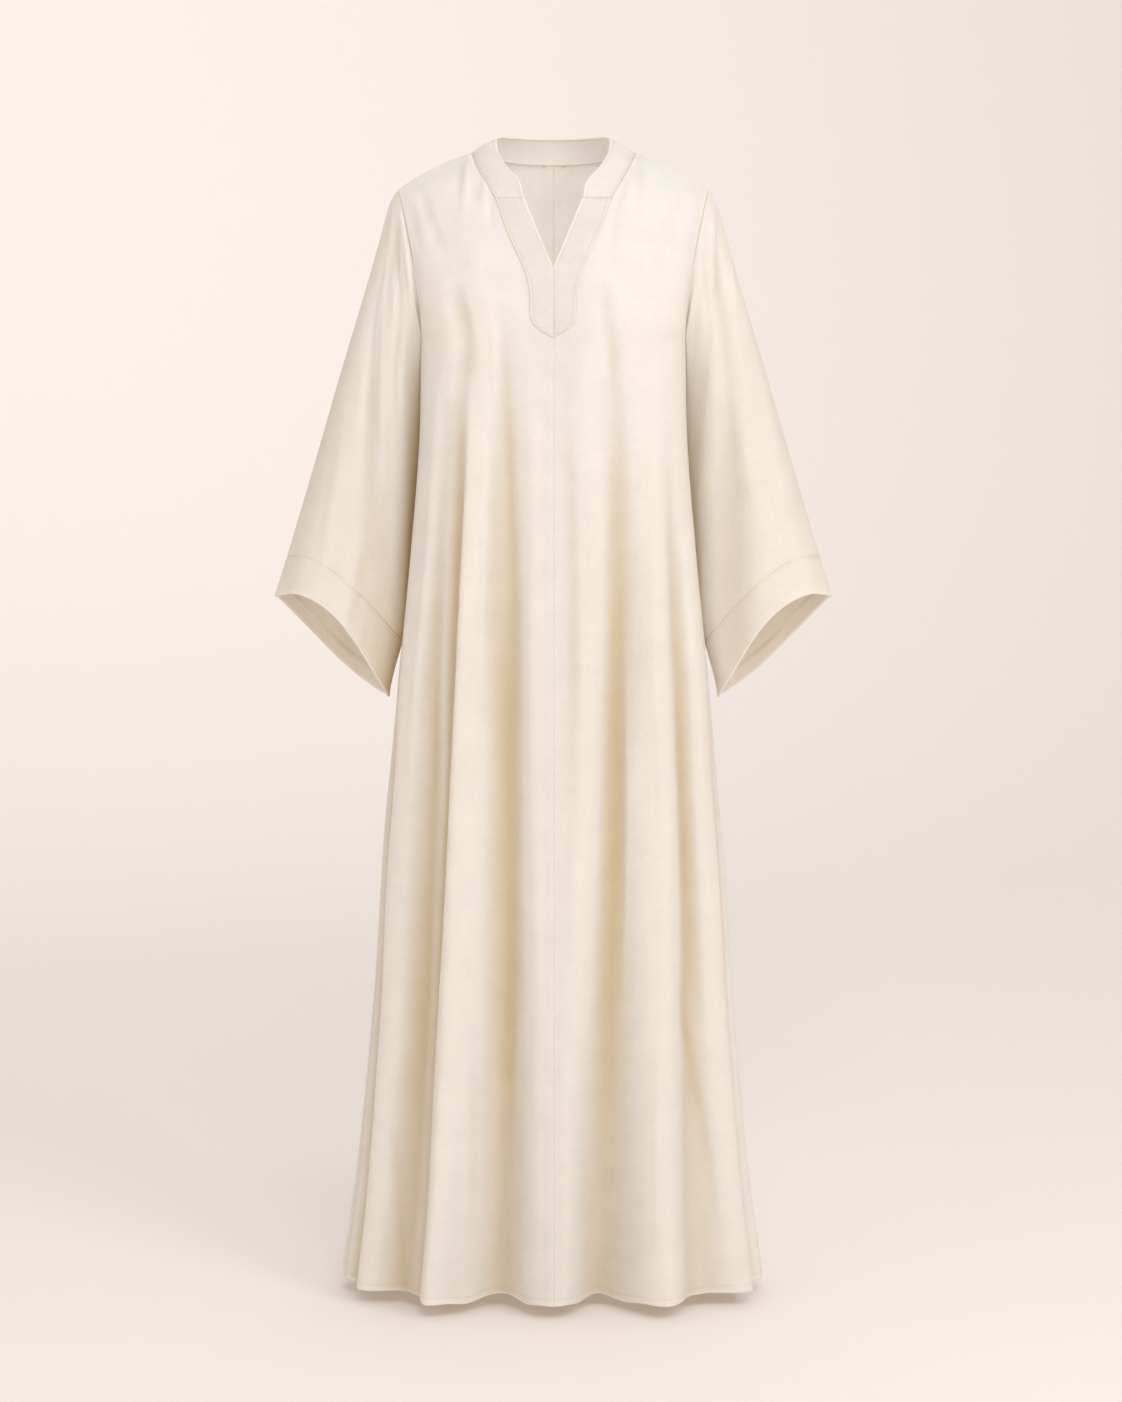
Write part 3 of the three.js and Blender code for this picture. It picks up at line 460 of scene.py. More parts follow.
def body_normal(panel, side, across, up, step=0.002):
    """The outward normal of the plain body."""
    up = np.minimum(up, 0.997)
    along = plain_point(panel, side, across + step, up) - plain_point(panel, side, across - step, up)
    above = plain_point(panel, side, across, up + step) - plain_point(panel, side, across, up - step)
    normal = unit(np.cross(along, above))
    outward = plain_point(panel, side, across, up)
    outward[..., 2] = np.where(up > 0.6, 400, 0)
    return np.where(np.sum(normal * outward, axis=-1, keepdims=True) < 0, -normal, normal)


def body_point(panel, side, across, up):
    """A point of the body's cloth with its small creases."""
    point = plain_point(panel, side, across, up)
    out = creases_out(panel, point[..., 0], point[..., 2])
    return point + body_normal(panel, side, across, up) * out[..., None]


def opening_half_width(panel, z):
    """Half the width of the neck's opening at a height, with the V on the front."""
    half_width = neck_half_width[panel](z)
    if panel == "front":
        rise = np.maximum(0, (z - V_POINT_Z) / (NECK_BAND_TOP_Z - V_POINT_Z))
        half_width = np.where(z < NECK_BAND_TOP_Z, V_TOP_HALF_WIDTH * rise, half_width)
    return half_width


def row_start(panel, up):
    """Where a row starts: at the centre line, or at the edge of the V or the neckline."""
    up = np.asarray(up, float)

    def past(across):
        point = plain_point(panel, 1, across, up)
        return point[..., 0] - opening_half_width(panel, point[..., 2])

    start = solve(past, np.zeros(up.shape), np.ones(up.shape))
    return np.where((up <= 0) | (past(np.zeros(up.shape)) >= 0), 0, start)


def neck_edge(panel, up):
    """The first point of a row."""
    return plain_point(panel, 1, row_start(panel, up), up)


def even_neck_ups(panel, start, count):
    """Heights up the yoke that part a panel's neckline evenly by length."""
    ups = np.linspace(start, 1, 81)
    edge = neck_edge(panel, ups)
    reach = np.concatenate([[0], np.cumsum(np.linalg.norm(np.diff(edge, axis=0), axis=1))])
    return np.interp(np.linspace(0, reach[-1], count + 1), reach, ups)


def up_at_neck(height):
    """Where up the front the edge of the V reaches a height."""
    return float(solve(lambda up: neck_edge("front", up)[..., 2] - height, 0.3, 0.95))


# Just below and just above the step from the V's edge out to the neckline.
V_TOP_UP = up_at_neck(NECK_BAND_TOP_Z - 0.05)
NECK_START = {
    "front": up_at_neck(NECK_BAND_TOP_Z + 0.05),
    "back": float(solve(lambda up: row_start("back", up) - 0.001, 0.3, 0.95)),
}
# The places up each armhole that the sleeve meets in even steps: seven below the neckline's start.
LOW_STEPS = 7
YOKE_UPS = {
    panel: np.concatenate([low, even_neck_ups(panel, NECK_START[panel], 7)])
    for panel, low in (
        ("front", np.linspace(0, V_TOP_UP, LOW_STEPS)),
        ("back", np.linspace(0, NECK_START["back"], LOW_STEPS + 1)[:-1]),
    )
}


# ---- Making meshes -----------------------------------------------------------------------------

# The depth of folds counts troughs at two widths, each with its reach to either side and its weight.
TROUGH_WIDTHS = ((15.0, 0.75), (32.0, 0.36))


def lengths(points, axis):
    """Distance run along a grid of points in one direction."""
    run = np.cumsum(np.linalg.norm(np.diff(points, axis=axis), axis=2), axis=axis)
    return np.concatenate([np.zeros_like(run.take([0], axis=axis)), run], axis=axis)


def grid_normals(points, loops, outward):
    """Normals of a grid of points, on the side that the outward vectors point to."""
    if loops:
        ring = points[:, :-1]
        along = np.roll(ring, -1, axis=1) - np.roll(ring, 1, axis=1)
        along = np.concatenate([along, along[:, :1]], axis=1)
    else:
        along = np.gradient(points, axis=1)
    normal = unit(np.cross(along, np.gradient(points, axis=0)))
    flip = np.sum(normal * outward) < 0
    return -normal if flip else normal


def fold_depth(points, normals, run, loops=False):
    """How deep each point lies in narrow and in wide troughs, in millimetres."""
    return sum(weight * trough_depth(points, normals, run, loops, reach) for reach, weight in TROUGH_WIDTHS)


def trough_depth(points, normals, run, loops, reach, least=6.0):
    """How far each point is behind the line between its two neighbours along the row, at a reach in
    millimetres. It fades out at an edge."""
    depth = np.empty(run.shape)
    for i, (row, along) in enumerate(zip(points, run)):
        total = along[-1]
        near, line, places, fade = np.full(along.shape, reach), row, along, 1.0
        if loops:
            line = np.concatenate([row[:-1], row[:-1], row])
            places = np.concatenate([along[:-1] - total, along[:-1], along + total])
        else:
            to_edge = np.minimum(along, total - along)
            near, fade = np.clip(to_edge, least, reach), smooth(to_edge, 5, 22)
        before, after = (
            np.stack([np.interp(there, places, line[:, axis]) for axis in range(3)], axis=-1)
            for there in (along - near, along + near)
        )
        depth[i] = np.sum(((before + after) / 2 - row) * normals[i], axis=-1) * fade
    return depth


def cloth_shell(name, outer, inner, uv, depth, inner_depth, loops=False):
    """A closed shell of cloth between two grids of points in millimetres, with its cloth UV map in
    metres along the threads. Depth is how deep the outer face lies, with painted seam lines and shade added,
    and is below nought on ridges; the material paints shade and highlights from it."""
    rings, columns = outer.shape[0], outer.shape[1] - (1 if loops else 0)
    points = np.concatenate([outer[:, :columns].reshape(-1, 3), inner[:, :columns].reshape(-1, 3)]) / MM
    edge = np.arange(columns if loops else columns - 1)
    i, j = (index.ravel() for index in np.meshgrid(np.arange(rings - 1), edge, indexing="ij"))
    quads = []

    def add(*corners):
        """Faces from their four corners, each as face, ring and column."""
        corners = [np.stack(np.broadcast_arrays(*corner), axis=-1) for corner in corners]
        quads.append(np.stack(corners, axis=1))

    add((0, i, j), (0, i, j + 1), (0, i + 1, j + 1), (0, i + 1, j))
    add((1, i, j), (1, i + 1, j), (1, i + 1, j + 1), (1, i, j + 1))
    add((0, 0, edge), (1, 0, edge), (1, 0, edge + 1), (0, 0, edge + 1))
    last = rings - 1
    add((0, last, edge), (0, last, edge + 1), (1, last, edge + 1), (1, last, edge))
    if not loops:
        side = np.arange(rings - 1)
        add((0, side, 0), (0, side + 1, 0), (1, side + 1, 0), (1, side, 0))
        far = columns - 1
        add((0, side, far), (1, side, far), (1, side + 1, far), (0, side + 1, far))
    corners = np.concatenate(quads)
    ids = corners[..., 0] * rings * columns + corners[..., 1] * columns + corners[..., 2] % columns
    middle = points[ids].mean(axis=1)
    span = np.cross(points[ids[:, 2]] - points[ids[:, 0]], points[ids[:, 3]] - points[ids[:, 1]])
    if np.sum(middle * span) < 0:
        ids, corners = ids[:, ::-1], corners[:, ::-1]
    mesh = bpy.data.meshes.new(name)
    mesh.vertices.add(len(points))
    mesh.vertices.foreach_set("co", points.ravel())
    mesh.loops.add(ids.size)
    mesh.loops.foreach_set("vertex_index", ids.ravel())
    mesh.polygons.add(len(ids))
    mesh.polygons.foreach_set("loop_start", np.arange(0, ids.size, 4))
    mesh.polygons.foreach_set("use_smooth", np.ones(len(ids), bool))
    mesh.update(calc_edges=True)
    # Rims meet the faces in a crisp fold.
    ends = np.empty(len(mesh.edges) * 2, int)
    mesh.edges.foreach_get("vertices", ends)
    face, ring, column = np.unravel_index(ends.reshape(-1, 2).T, (2, rings, columns))
    on_rim = (ring[0] == ring[1]) & ((ring[0] == 0) | (ring[0] == rings - 1))
    on_side = (column[0] == column[1]) & ((column[0] == 0) | (column[0] == columns - 1)) & (not loops)
    sharp = mesh.attributes.new("sharp_edge", "BOOLEAN", "EDGE")
    sharp.data.foreach_set("value", (on_rim | on_side) & (face[0] == face[1]))
    layer = mesh.uv_layers.new(name="Cloth")
    layer.data.foreach_set("uv", (uv[corners[..., 1], corners[..., 2]] / MM).ravel())
    # The depths go to the material, which paints shade in troughs and highlights on ridges from them.
    trough = mesh.attributes.new("fold_depth", "FLOAT", "POINT")
    depths = np.stack([depth[:, :columns], inner_depth[:, :columns]])
    trough.data.foreach_set("value", depths.ravel())
    mesh.validate()
    thing = bpy.data.objects.new(name, mesh)
    bpy.context.scene.collection.objects.link(thing)
    thing.data.materials.append(crepe())
    return thing


def linear(hex_colour):
    """A hex colour as linear light."""
    parts = [int(hex_colour[i : i + 2], 16) / 255 for i in (1, 3, 5)]
    return tuple(p / 12.92 if p <= 0.04045 else ((p + 0.055) / 1.055) ** 2.4 for p in parts)


def add_node(tree, kind, settings=None, inputs=None):
    """A node with its settings and its inputs, where an input is a value or another node's output."""
    node = tree.nodes.new(kind)
    for name, value in (settings or {}).items():
        setattr(node, name, value)
    for name, value in (inputs or {}).items():
        if isinstance(value, bpy.types.NodeSocket):
            tree.links.new(value, node.inputs[name])
        else:
            node.inputs[name].default_value = value
    return node


# ---- What a user may change --------------------------------------------------------------------


def length_setting(name, description, default, low, high):
    """A length in metres that a user may change."""
    return FloatProperty(name=name, description=description, default=default, min=low, max=high,
                         subtype="DISTANCE", unit="LENGTH")


def power_setting(name, description, default):
    """A light's power in watts."""
    return FloatProperty(name=name, description=description, default=default, min=0,
                         subtype="POWER", unit="POWER")


def colour_setting(name, description, hex_colour):
    """A colour that a user may change."""
    return FloatVectorProperty(name=name, description=description, size=3, subtype="COLOR",
                               default=linear(hex_colour), min=0, max=1)


class KaftanCloth(bpy.types.PropertyGroup):
    wall: length_setting("Cloth thickness", "Thickness of one layer of crepe", 0.0010, 0.0004, 0.0018)
    band_lift: length_setting("Band height", "How far the neck band stands on the front",
                              0.0015, 0.0005, 0.003)
    hem_depth: length_setting("Hem depth", "Height of the narrow turned hem", 0.008, 0.004, 0.03)
    thread_spacing: length_setting("Thread spacing", "Distance between the drawn threads",
                                   0.0014, 0.0003, 0.004)
    colour: colour_setting("Colour", "Colour of the crepe", "#fbf9f6")
    # Painted shade: the colour that the cloth takes deep in a fold.
    trough_shade_colour: colour_setting("Trough colour", "Colour deep in a fold", "#ddc9a0")
    # Painted shade: the colour where cloth hangs against cloth, between the sleeve and the body.
    contact_shade_colour: colour_setting("Deep colour", "Colour where cloth hangs against cloth", "#e6ca8f")
    # Painted highlight: the lighter colour of folded edges and ridges.
    ridge_highlight_colour: colour_setting("Ridge colour", "Colour of folded edges and ridges", "#fffcf7")
    glow: FloatProperty(name="Light let through", description="Share of the light that passes into the cloth",
                        default=0.52, min=0, max=0.8)


class KaftanStitching(bpy.types.PropertyGroup):
    pitch: length_setting("Stitch pitch", "Distance from one stitch to the next", 0.0030, 0.0015, 0.006)
    length: length_setting("Stitch length", "Length of the thread that shows in a stitch",
                           0.0023, 0.001, 0.005)
    thread: length_setting("Thread thickness", "Thickness of the sewing thread", 0.0004, 0.0001, 0.001)


class KaftanStage(bpy.types.PropertyGroup):
    key: power_setting("Key light", "Power of the large soft light at the front right", 45.0)
    fill: power_setting("Fill light", "Power of the warm light at the front left", 4.0)
    front: power_setting("Front light", "Power of the soft light above the camera", 62.0)
    backdrop: power_setting("Backdrop light", "Power of the light on the backdrop's upper left", 52.0)
    floor: power_setting("Floor light", "Power of the light on the floor behind the garment", 15.0)
    room: FloatProperty(name="Room light", description="Strength of the light from all round",
                        default=0.78, min=0)
    floor_colour: colour_setting("Floor colour", "Colour of the floor and backdrop", "#efe7e1")
    floor_gap: length_setting("Floor gap", "How far the hem hangs above the floor", 0.020, 0.0, 1.0)


# ---- Materials ---------------------------------------------------------------------------------


def new_material(name):
    """A new material with an empty node tree."""
    material = bpy.data.materials.new(name)
    material.use_nodes = True
    material.node_tree.nodes.clear()
    return material, material.node_tree


def noise(tree, place, size, detail, roughness=0.5):
    """Noise whose patches are about as large as the size, in metres."""
    inputs = {"Vector": place, "Scale": 1 / size, "Detail": detail, "Roughness": roughness}
    return add_node(tree, "ShaderNodeTexNoise", None, inputs).outputs["Fac"]


def mapped(tree, place, **changes):
    """A place after a mapping: its scale or its rotation."""
    inputs = {"Vector": place, **{name.capitalize(): value for name, value in changes.items()}}
    return add_node(tree, "ShaderNodeMapping", None, inputs).outputs[0]


def spread(tree, value, start, end, low=0.0, high=1.0, kind="LINEAR"):
    """Spreads a value from one range over another."""
    inputs = {"Value": value, "From Min": start, "From Max": end, "To Min": low, "To Max": high}
    return add_node(tree, "ShaderNodeMapRange", {"interpolation_type": kind}, inputs).outputs[0]


def blend(tree, factor, first, second):
    """A blend of two colours. Nodes number the two colour sockets of a mix 6 and 7, and its result 2."""
    inputs = {"Factor": factor, 6: first, 7: second}
    return add_node(tree, "ShaderNodeMix", {"data_type": "RGBA"}, inputs).outputs[2]


def bumped(tree, height, strength, distance, normal=None):
    """A bump of a distance in metres on top of another one."""
    inputs = {"Strength": strength, "Distance": distance, "Height": height}
    if normal is not None:
        inputs["Normal"] = normal
    return add_node(tree, "ShaderNodeBump", None, inputs).outputs[0]


def crepe():
    """Polyester crepe, piece-dyed cream and matt: twisted threads give it a fine pebbled twill, a soft
    sheen at grazing angles and no sharp highlight. Its colour also carries painted shade in folds and where
    cloth hangs against cloth, and painted highlights on ridges and turned edges."""
    material = bpy.data.materials.get("cream crepe")
    if material:
        return material
    cloth = bpy.context.scene.kaftan_cloth
    material, tree = new_material("cream crepe")
    uv = add_node(tree, "ShaderNodeUVMap", {"uv_map": "Cloth"}).outputs[0]
    # The real threads lie 0.3 mm apart, too fine for a whole-garment view, so they are drawn coarser.
    # At a scale of one, the bands of a wave texture lie 0.31416 m apart.
    twill_way = mapped(tree, uv, rotation=(0, 0, math.radians(38)))
    twill = add_node(tree, "ShaderNodeTexWave", {"wave_type": "BANDS", "bands_direction": "X"},
                     {"Vector": twill_way, "Scale": 0.31416 / cloth.thread_spacing, "Distortion": 2.2,
                      "Detail": 2.0, "Detail Scale": 1.6})
    pebble = noise(tree, uv, cloth.thread_spacing / 0.55, 2.0, 0.6)
    # Slubs: slightly thicker lengths of thread along the twill, about six times as long as wide.
    slub = noise(tree, mapped(tree, twill_way, scale=(1, 0.16, 1)), 0.0022, 1.0)
    # Fine vertical drag lines where the crepe hangs, about eleven times as long as wide.
    drag = noise(tree, mapped(tree, uv, scale=(1, 0.09, 1)), 0.005, 3.0, 0.6)
    # Broad unevenness of the cloth's surface.
    cloud = noise(tree, uv, 0.035, 3.0, 0.55)
    weave = add_node(tree, "ShaderNodeMath", {"operation": "MULTIPLY_ADD"},
                     {0: twill.outputs["Fac"], 1: 0.35, 2: pebble})
    weave = add_node(tree, "ShaderNodeMath", {"operation": "ADD"}, {0: weave.outputs[0], 1: slub}).outputs[0]
    bump = bumped(tree, weave, 0.22, 0.0004)
    bump = bumped(tree, cloud, 0.35, 0.0012, bump)
    bump = bumped(tree, drag, 0.4, 0.0010, bump)
    # Painted shade and highlights: the colour darkens towards the painted trough shade with how deep a point
    # lies in a fold, in millimetres, deeper still towards a painted contact shade, and lightens to a painted
    # highlight on ridges, where the depth is below nought.
    depth = add_node(tree, "ShaderNodeAttribute", {"attribute_name": "fold_depth"}).outputs["Fac"]
    shade = blend(tree, spread(tree, depth, -0.9, 13.0), (*cloth.colour, 1), (*cloth.trough_shade_colour, 1))
    # painted contact shade where the depth is greatest, where cloth hangs against cloth
    deep = spread(tree, depth, 11.0, 24.0, kind="SMOOTHSTEP")
    shade = blend(tree, deep, shade, (*cloth.contact_shade_colour, 1))
    # painted highlight on ridges and turned edges, where the depth is below nought
    ridge_highlight = spread(tree, depth, -0.6, -3.0, kind="SMOOTHSTEP")
    shade = blend(tree, ridge_highlight, shade, (*cloth.ridge_highlight_colour, 1))
    speck = spread(tree, weave, 0.7, 1.7, 0.95, 1.03)
    tone = spread(tree, cloud, 0.3, 0.7, 0.98, 1.015)
    both = add_node(tree, "ShaderNodeMath", {"operation": "MULTIPLY"}, {0: speck, 1: tone})
    colour = add_node(tree, "ShaderNodeVectorMath", {"operation": "SCALE"},
                      {0: shade, "Scale": both.outputs[0]}).outputs[0]
    shader = add_node(tree, "ShaderNodeBsdfPrincipled", None,
                      {"Base Color": colour, "Roughness": spread(tree, slub, 0.3, 0.7, 0.72, 0.84),
                       "Normal": bump, "Metallic": 0.0, "IOR": 1.5, "Sheen Weight": 0.18,
                       "Sheen Roughness": 0.45, "Sheen Tint": (1.0, 0.97, 0.93, 1.0)})
    # Thin crepe lets part of the light through, so the inside of the garment is never dark.
    through = add_node(tree, "ShaderNodeBsdfTranslucent", None, {"Color": colour, "Normal": bump})
    thin = add_node(tree, "ShaderNodeMixShader", None,
                    {0: cloth.glow, 1: shader.outputs[0], 2: through.outputs[0]})
    add_node(tree, "ShaderNodeOutputMaterial", None, {"Surface": thin.outputs[0]})
    return material


def sewing_thread():
    """Spun polyester sewing thread, dyed to match: a fine twist and a soft gloss."""
    material, tree = new_material("matched sewing thread")
    place = add_node(tree, "ShaderNodeTexCoord").outputs["Object"]
    twist = noise(tree, place, 0.0006, 1.0)
    colour = blend(tree, twist, (*linear("#eadcc8"), 1), (*linear("#f3e9db"), 1))
    shader = add_node(tree, "ShaderNodeBsdfPrincipled", None,
                      {"Base Color": colour, "Roughness": 0.55, "Normal": bumped(tree, twist, 0.3, 0.0001)})
    add_node(tree, "ShaderNodeOutputMaterial", None, {"Surface": shader.outputs[0]})
    return material


# ---- Edges and seams ---------------------------------------------------------------------------

# Columns and rows near an edge, in millimetres from it.
EDGE_STEPS = np.array([0, 0.5, 1.1, 1.8, 2.6, 3.5, 4.6, 6, 8, 11])
# Painted lines beside an edge, for the function that adds them to the fold depth: a sewn seam's dark line of
# painted shade with a painted light roll beside it, and a turned edge with a painted highlight, with the
# painted shade of a row of stitches.
NECK_TINT = ((5.0, 0.2, 1.2), (-2.5, 3.0, 1.2))
ARMHOLE_TINT = ((7.0, 0.2, 1.2), (-3.0, 2.8, 1.4))
BAND_TINT = ((4.5, 0.1, 1.0), (-3.5, 1.9, 1.0), (3.5, 3.7, 0.9))
V_TINT = ((2.4, 3.6, 1.0), (-8.0, 0.3, 1.6))
COLLAR_SEAM_TINT = ((4.5, 0.1, 1.0), (-3.0, 1.8, 1.0), (4.0, 3.6, 0.9))
COLLAR_TOP_TINT = ((-8.0, 0.3, 1.7), (2.4, 3.6, 1.0))
COLLAR_INSIDE_SEAM_TINT = ((9.0, 0.1, 1.3), (-3.5, 1.9, 1.1))
COLLAR_INSIDE_TOP_TINT = ((-4.0, 0.3, 1.4), (5.0, 3.6, 1.1))
CUFF_SEAM_TINT = ((5.0, 0.1, 1.0), (-3.0, 1.8, 1.0), (2.4, 3.6, 0.9))
CUFF_EDGE_TINT = ((-8.0, 0.3, 1.6), (2.0, 3.4, 1.0))
CUFF_INSIDE_TINT = ((5.0, CUFF_FACING + 0.2, 1.2), (-2.5, CUFF_FACING - 2, 1.2), (-12.0, 0.2, 1.6))


def line_at(distance, at, width=1.2):
    """One along a line, fading out beside it."""
    return np.exp(-(((distance - at) / width) ** 2))


def painted_lines(distance, *lines):
    """Fold depth that painted lines along an edge add: painted shade above nought, painted highlight below
    it. Each line is how deep it looks, its place and its width.
    """
    return sum(deep * line_at(distance, at, width) for deep, at, width in lines)


def seam_groove(distance):
    """A sewn seam's edge: the cloth rolls in to the seam line."""
    return -0.75 * line_at(distance, 0, 1.5)


def stitched_line(distance, at, depth=0.3):
    """The shallow groove that a row of stitches pulls."""
    return -depth * line_at(distance, at, 0.9)


def turned_edge(distance, width, height=0.5):
    """A turned edge: it rounds off at the fold and is thicker as far as it is turned."""
    thick = height * (1 - smooth(distance, width - 0.8, width + 1.2))
    return thick - (height + 0.5) * line_at(distance, 0, 0.7)


def puckers(run, distance, height, reach):
    """Small uneven puckers along a line of stitches."""
    # each wave: its height, the distance in which it turns by one radian, and its start
    waves = ((1, 1.9, 0), (0.8, 3.1, 1.3), (0.9, 5.3, 0.4), (0.6, 13.7, 0))
    wave = sum(size * np.sin(run / spacing + start) for size, spacing, start in waves)
    return height / 2 * wave * np.exp(-np.abs(distance) / reach)


def finish_piece(thing, node):
    """Gives a finished piece of cloth its body, and hides the part of model.glb that its node names."""
    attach(thing, BODY)
    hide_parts(node)


# ---- Fronts and backs --------------------------------------------------------------------------

# Even columns of a panel between its two edges, and the front's columns from the centre to the collar.
PANEL_GRID = {"front": 74, "back": 84}
NECK_COLUMNS = 22
# Rows near the hem, in millimetres up from it.
HEM_STEPS = np.array([0, 0.6, 1.3, 2.1, 3, 4.2, 5.6, 7, 8.2, 9.5, 11.5, 14, 18])


def panel_ups(panel):
    """Rows of a panel: fine at the hem and close along the neck."""
    hem = -1 + HEM_STEPS / SKIRT_LENGTH
    skirt = np.linspace(hem[-1], 0, 170)[1:]
    if panel == "front":
        yoke_rows = np.linspace(0, V_TOP_UP, 44)[1:]
    else:
        yoke_rows = np.linspace(0, NECK_START["back"], 34)[1:-1]
    high = np.concatenate([yoke_rows, even_neck_ups(panel, NECK_START[panel], 40)])
    shoulder = high[-1] - (high[-1] - high[-2]) * np.array([0.55, 0.28, 0.12])
    return np.concatenate([hem, skirt, high[:-1], shoulder, [high[-1]]])


def panel_grid(panel, side):
    """A panel's points in rows. The front's first columns run from the centre or the V to below the
    collar's front end, and above that they close up on the neckline."""
    ups = panel_ups(panel)
    start = row_start(panel, ups)
    places = start[:, None] + (1 - start[:, None]) * np.linspace(0, 1, 61)[None]
    length = lengths(plain_point(panel, side, places, ups[:, None]), 1)
    runs = []
    for up, row, place in zip(ups, length, places):
        first = np.zeros(0)
        at = 0.0
        if panel == "front" and up < NECK_START["front"] - 1e-9:
            x = plain_point(panel, 1, place, np.full(place.shape, up))[..., 0]
            at = np.interp(FRONT_NECKLINE["half_width"][0], x, row)
            middle = np.linspace(EDGE_STEPS[-1], at, NECK_COLUMNS - len(EDGE_STEPS) + 2)[1:-1]
            first = np.concatenate([EDGE_STEPS, middle])
        elif panel == "front":
            at = 0.4
            first = np.linspace(0, at, NECK_COLUMNS + 1)[:-1]
        rest = at + steps_from_edges(row[-1] - at, EDGE_STEPS, PANEL_GRID[panel])
        runs.append(np.concatenate([first, rest]))
    across = np.array([np.interp(run, row, place) for run, row, place in zip(runs, length, places)])
    up = np.broadcast_to(ups[:, None], across.shape)
    return ups, across, body_point(panel, side, across, up)


def hem_swing(points):
    """How far the front's hem hangs lower beside its folds, in millimetres."""
    fade = 1 - smooth(points[..., 2], HEM_Z + 6, HEM_Z + 150)
    return sum(down * hump(points[..., 0] - x, half_width) for x, half_width, down in HEM_SWINGS) * fade


def panel_painted_light(panel, side, points, ups, from_centre, from_side, from_hem, from_top, hem_depth):
    """What painted seam lines, painted edge highlights and painted shade add to the depth of a panel's outer
    face.
    """
    if panel == "front":
        neckline = points[..., 2] > NECK_BAND_TOP_Z
    else:
        neckline = (ups > NECK_START["back"])[:, None]
    armhole = smooth(ups, -0.002, 0.01)[:, None]
    # painted shade and highlight lines along the neckline's and the armhole's seams
    added = neckline * painted_lines(from_centre, *NECK_TINT)
    added = added + armhole * painted_lines(from_side, *ARMHOLE_TINT)
    # below the neckline the centre seam is painted, as a shaded line on the right half and a light line on
    # the left
    added += ~neckline * (1.8 if side > 0 else -1.5) * line_at(from_centre, 0.4)
    # a painted highlight at the hem's turned edge, painted shade along the hem's stitching and along the top
    # edge below the neckline
    added += painted_lines(from_hem, (-8.0, 0.2, 2.0), (1.8, hem_depth, 1.1))
    added += ~neckline * 2.0 * line_at(from_top, 0.2)
    # painted shade where the sleeve hangs against the cloth, with a painted lighter band beside it
    hung = smooth(points[..., 2], -700, -600) * (1 - smooth(points[..., 2], -300, ARMPIT_Z))
    near = (11.0 if side < 0 else 4.0) * (1 - smooth(from_side, 0, 13))
    return added + hung * (near - 2.5 * line_at(from_side, 13.0, 5.0))


def make_panel(panel, side, name):
    """One half of the front or the back."""
    cloth = bpy.context.scene.kaftan_cloth
    hem_depth = cloth.hem_depth * MM
    ups, _, points = panel_grid(panel, side)
    outward = points * (1, 1, 0)
    # the front's rows step out at the collar's end, so they are taken in two parts
    low = int(np.sum(ups < NECK_START["front"] - 1e-9)) if panel == "front" else len(ups)
    parts = [part for part in (slice(0, low), slice(low, None)) if len(ups[part])]
    normals = np.concatenate([grid_normals(points[part], False, outward[part]) for part in parts])
    from_centre, from_hem = lengths(points, 1), lengths(points, 0)
    from_side = from_centre[:, -1:] - from_centre
    from_top = from_hem[-1:] - from_hem
    if panel == "front":
        from_top[:low, :NECK_COLUMNS] = from_hem[low - 1, :NECK_COLUMNS] - from_hem[:low, :NECK_COLUMNS]
        from_top[low:, :NECK_COLUMNS] = from_top[low:, NECK_COLUMNS, None]
        from_hem[low:, :NECK_COLUMNS] = from_hem[low:, NECK_COLUMNS, None]
    profile = seam_groove(from_centre) * 0.5 + seam_groove(from_side) + seam_groove(from_top)
    profile += stitched_line(from_hem, hem_depth, 0.35) + turned_edge(from_hem, hem_depth - 1, 0.25)
    profile += puckers(from_centre + 300 * side, from_hem - 6, 0.45, 9.0) * (from_hem < 60)
    by_armhole = (ups > -0.1)[:, None] * smooth(from_side, 1, 4)
    profile += puckers(from_hem + 500 * side, from_side, 0.3, 6.0) * by_armhole
    # a seam's allowance lies pressed flat inside, and the hem is turned up twice
    inside = cloth.wall * MM + 0.5 * (from_hem < hem_depth) + 0.5 * (1 - smooth(from_centre, 10.5, 11.5))
    inside = inside - 0.5 * line_at(from_centre, 0, 1.3) - 0.8 * line_at(from_top, 0, 1.3)
    outer = points + normals * profile[..., None]
    inner = points - normals * inside[..., None]
    for face in (outer, inner):
        if panel == "front":
            face[..., 2] -= hem_swing(points)
        # the first column stands off the centre line, so that the two halves don't touch
        face[:, 0, 0] += np.where(ups < 0.99, side * 0.05, 0)
    start_x = np.abs(points[:, :1, 0])
    uv = np.stack([side * (start_x + from_centre), from_hem + (600 if panel == "front" else 0)], axis=-1)
    depth = fold_depth(points, normals, from_centre)
    # the painted trough shade is weaker towards the hem, and the front's left side gets a little painted
    # shade
    depth *= 1 - 0.4 * smooth(-points[..., 2], 1000, 1330)
    if panel == "front" and side < 0:
        depth += 2.6 * smooth(-points[..., 0], 92, 150) * smooth(-points[..., 2], 180, 320)
    # the inside face gets the painted shade turned over and lighter, with painted seam lines by the centre
    inner_depth = -0.4 * depth - 1.0 + painted_lines(from_centre, (2.0, 0.2, 1.5), (-1.5, 3.2, 1.4))
    depth += panel_painted_light(panel, side, points, ups, from_centre, from_side, from_hem, from_top, hem_depth)
    return cloth_shell(name, outer, inner, uv, depth, inner_depth)


# ---- Band --------------------------------------------------------------------------------------


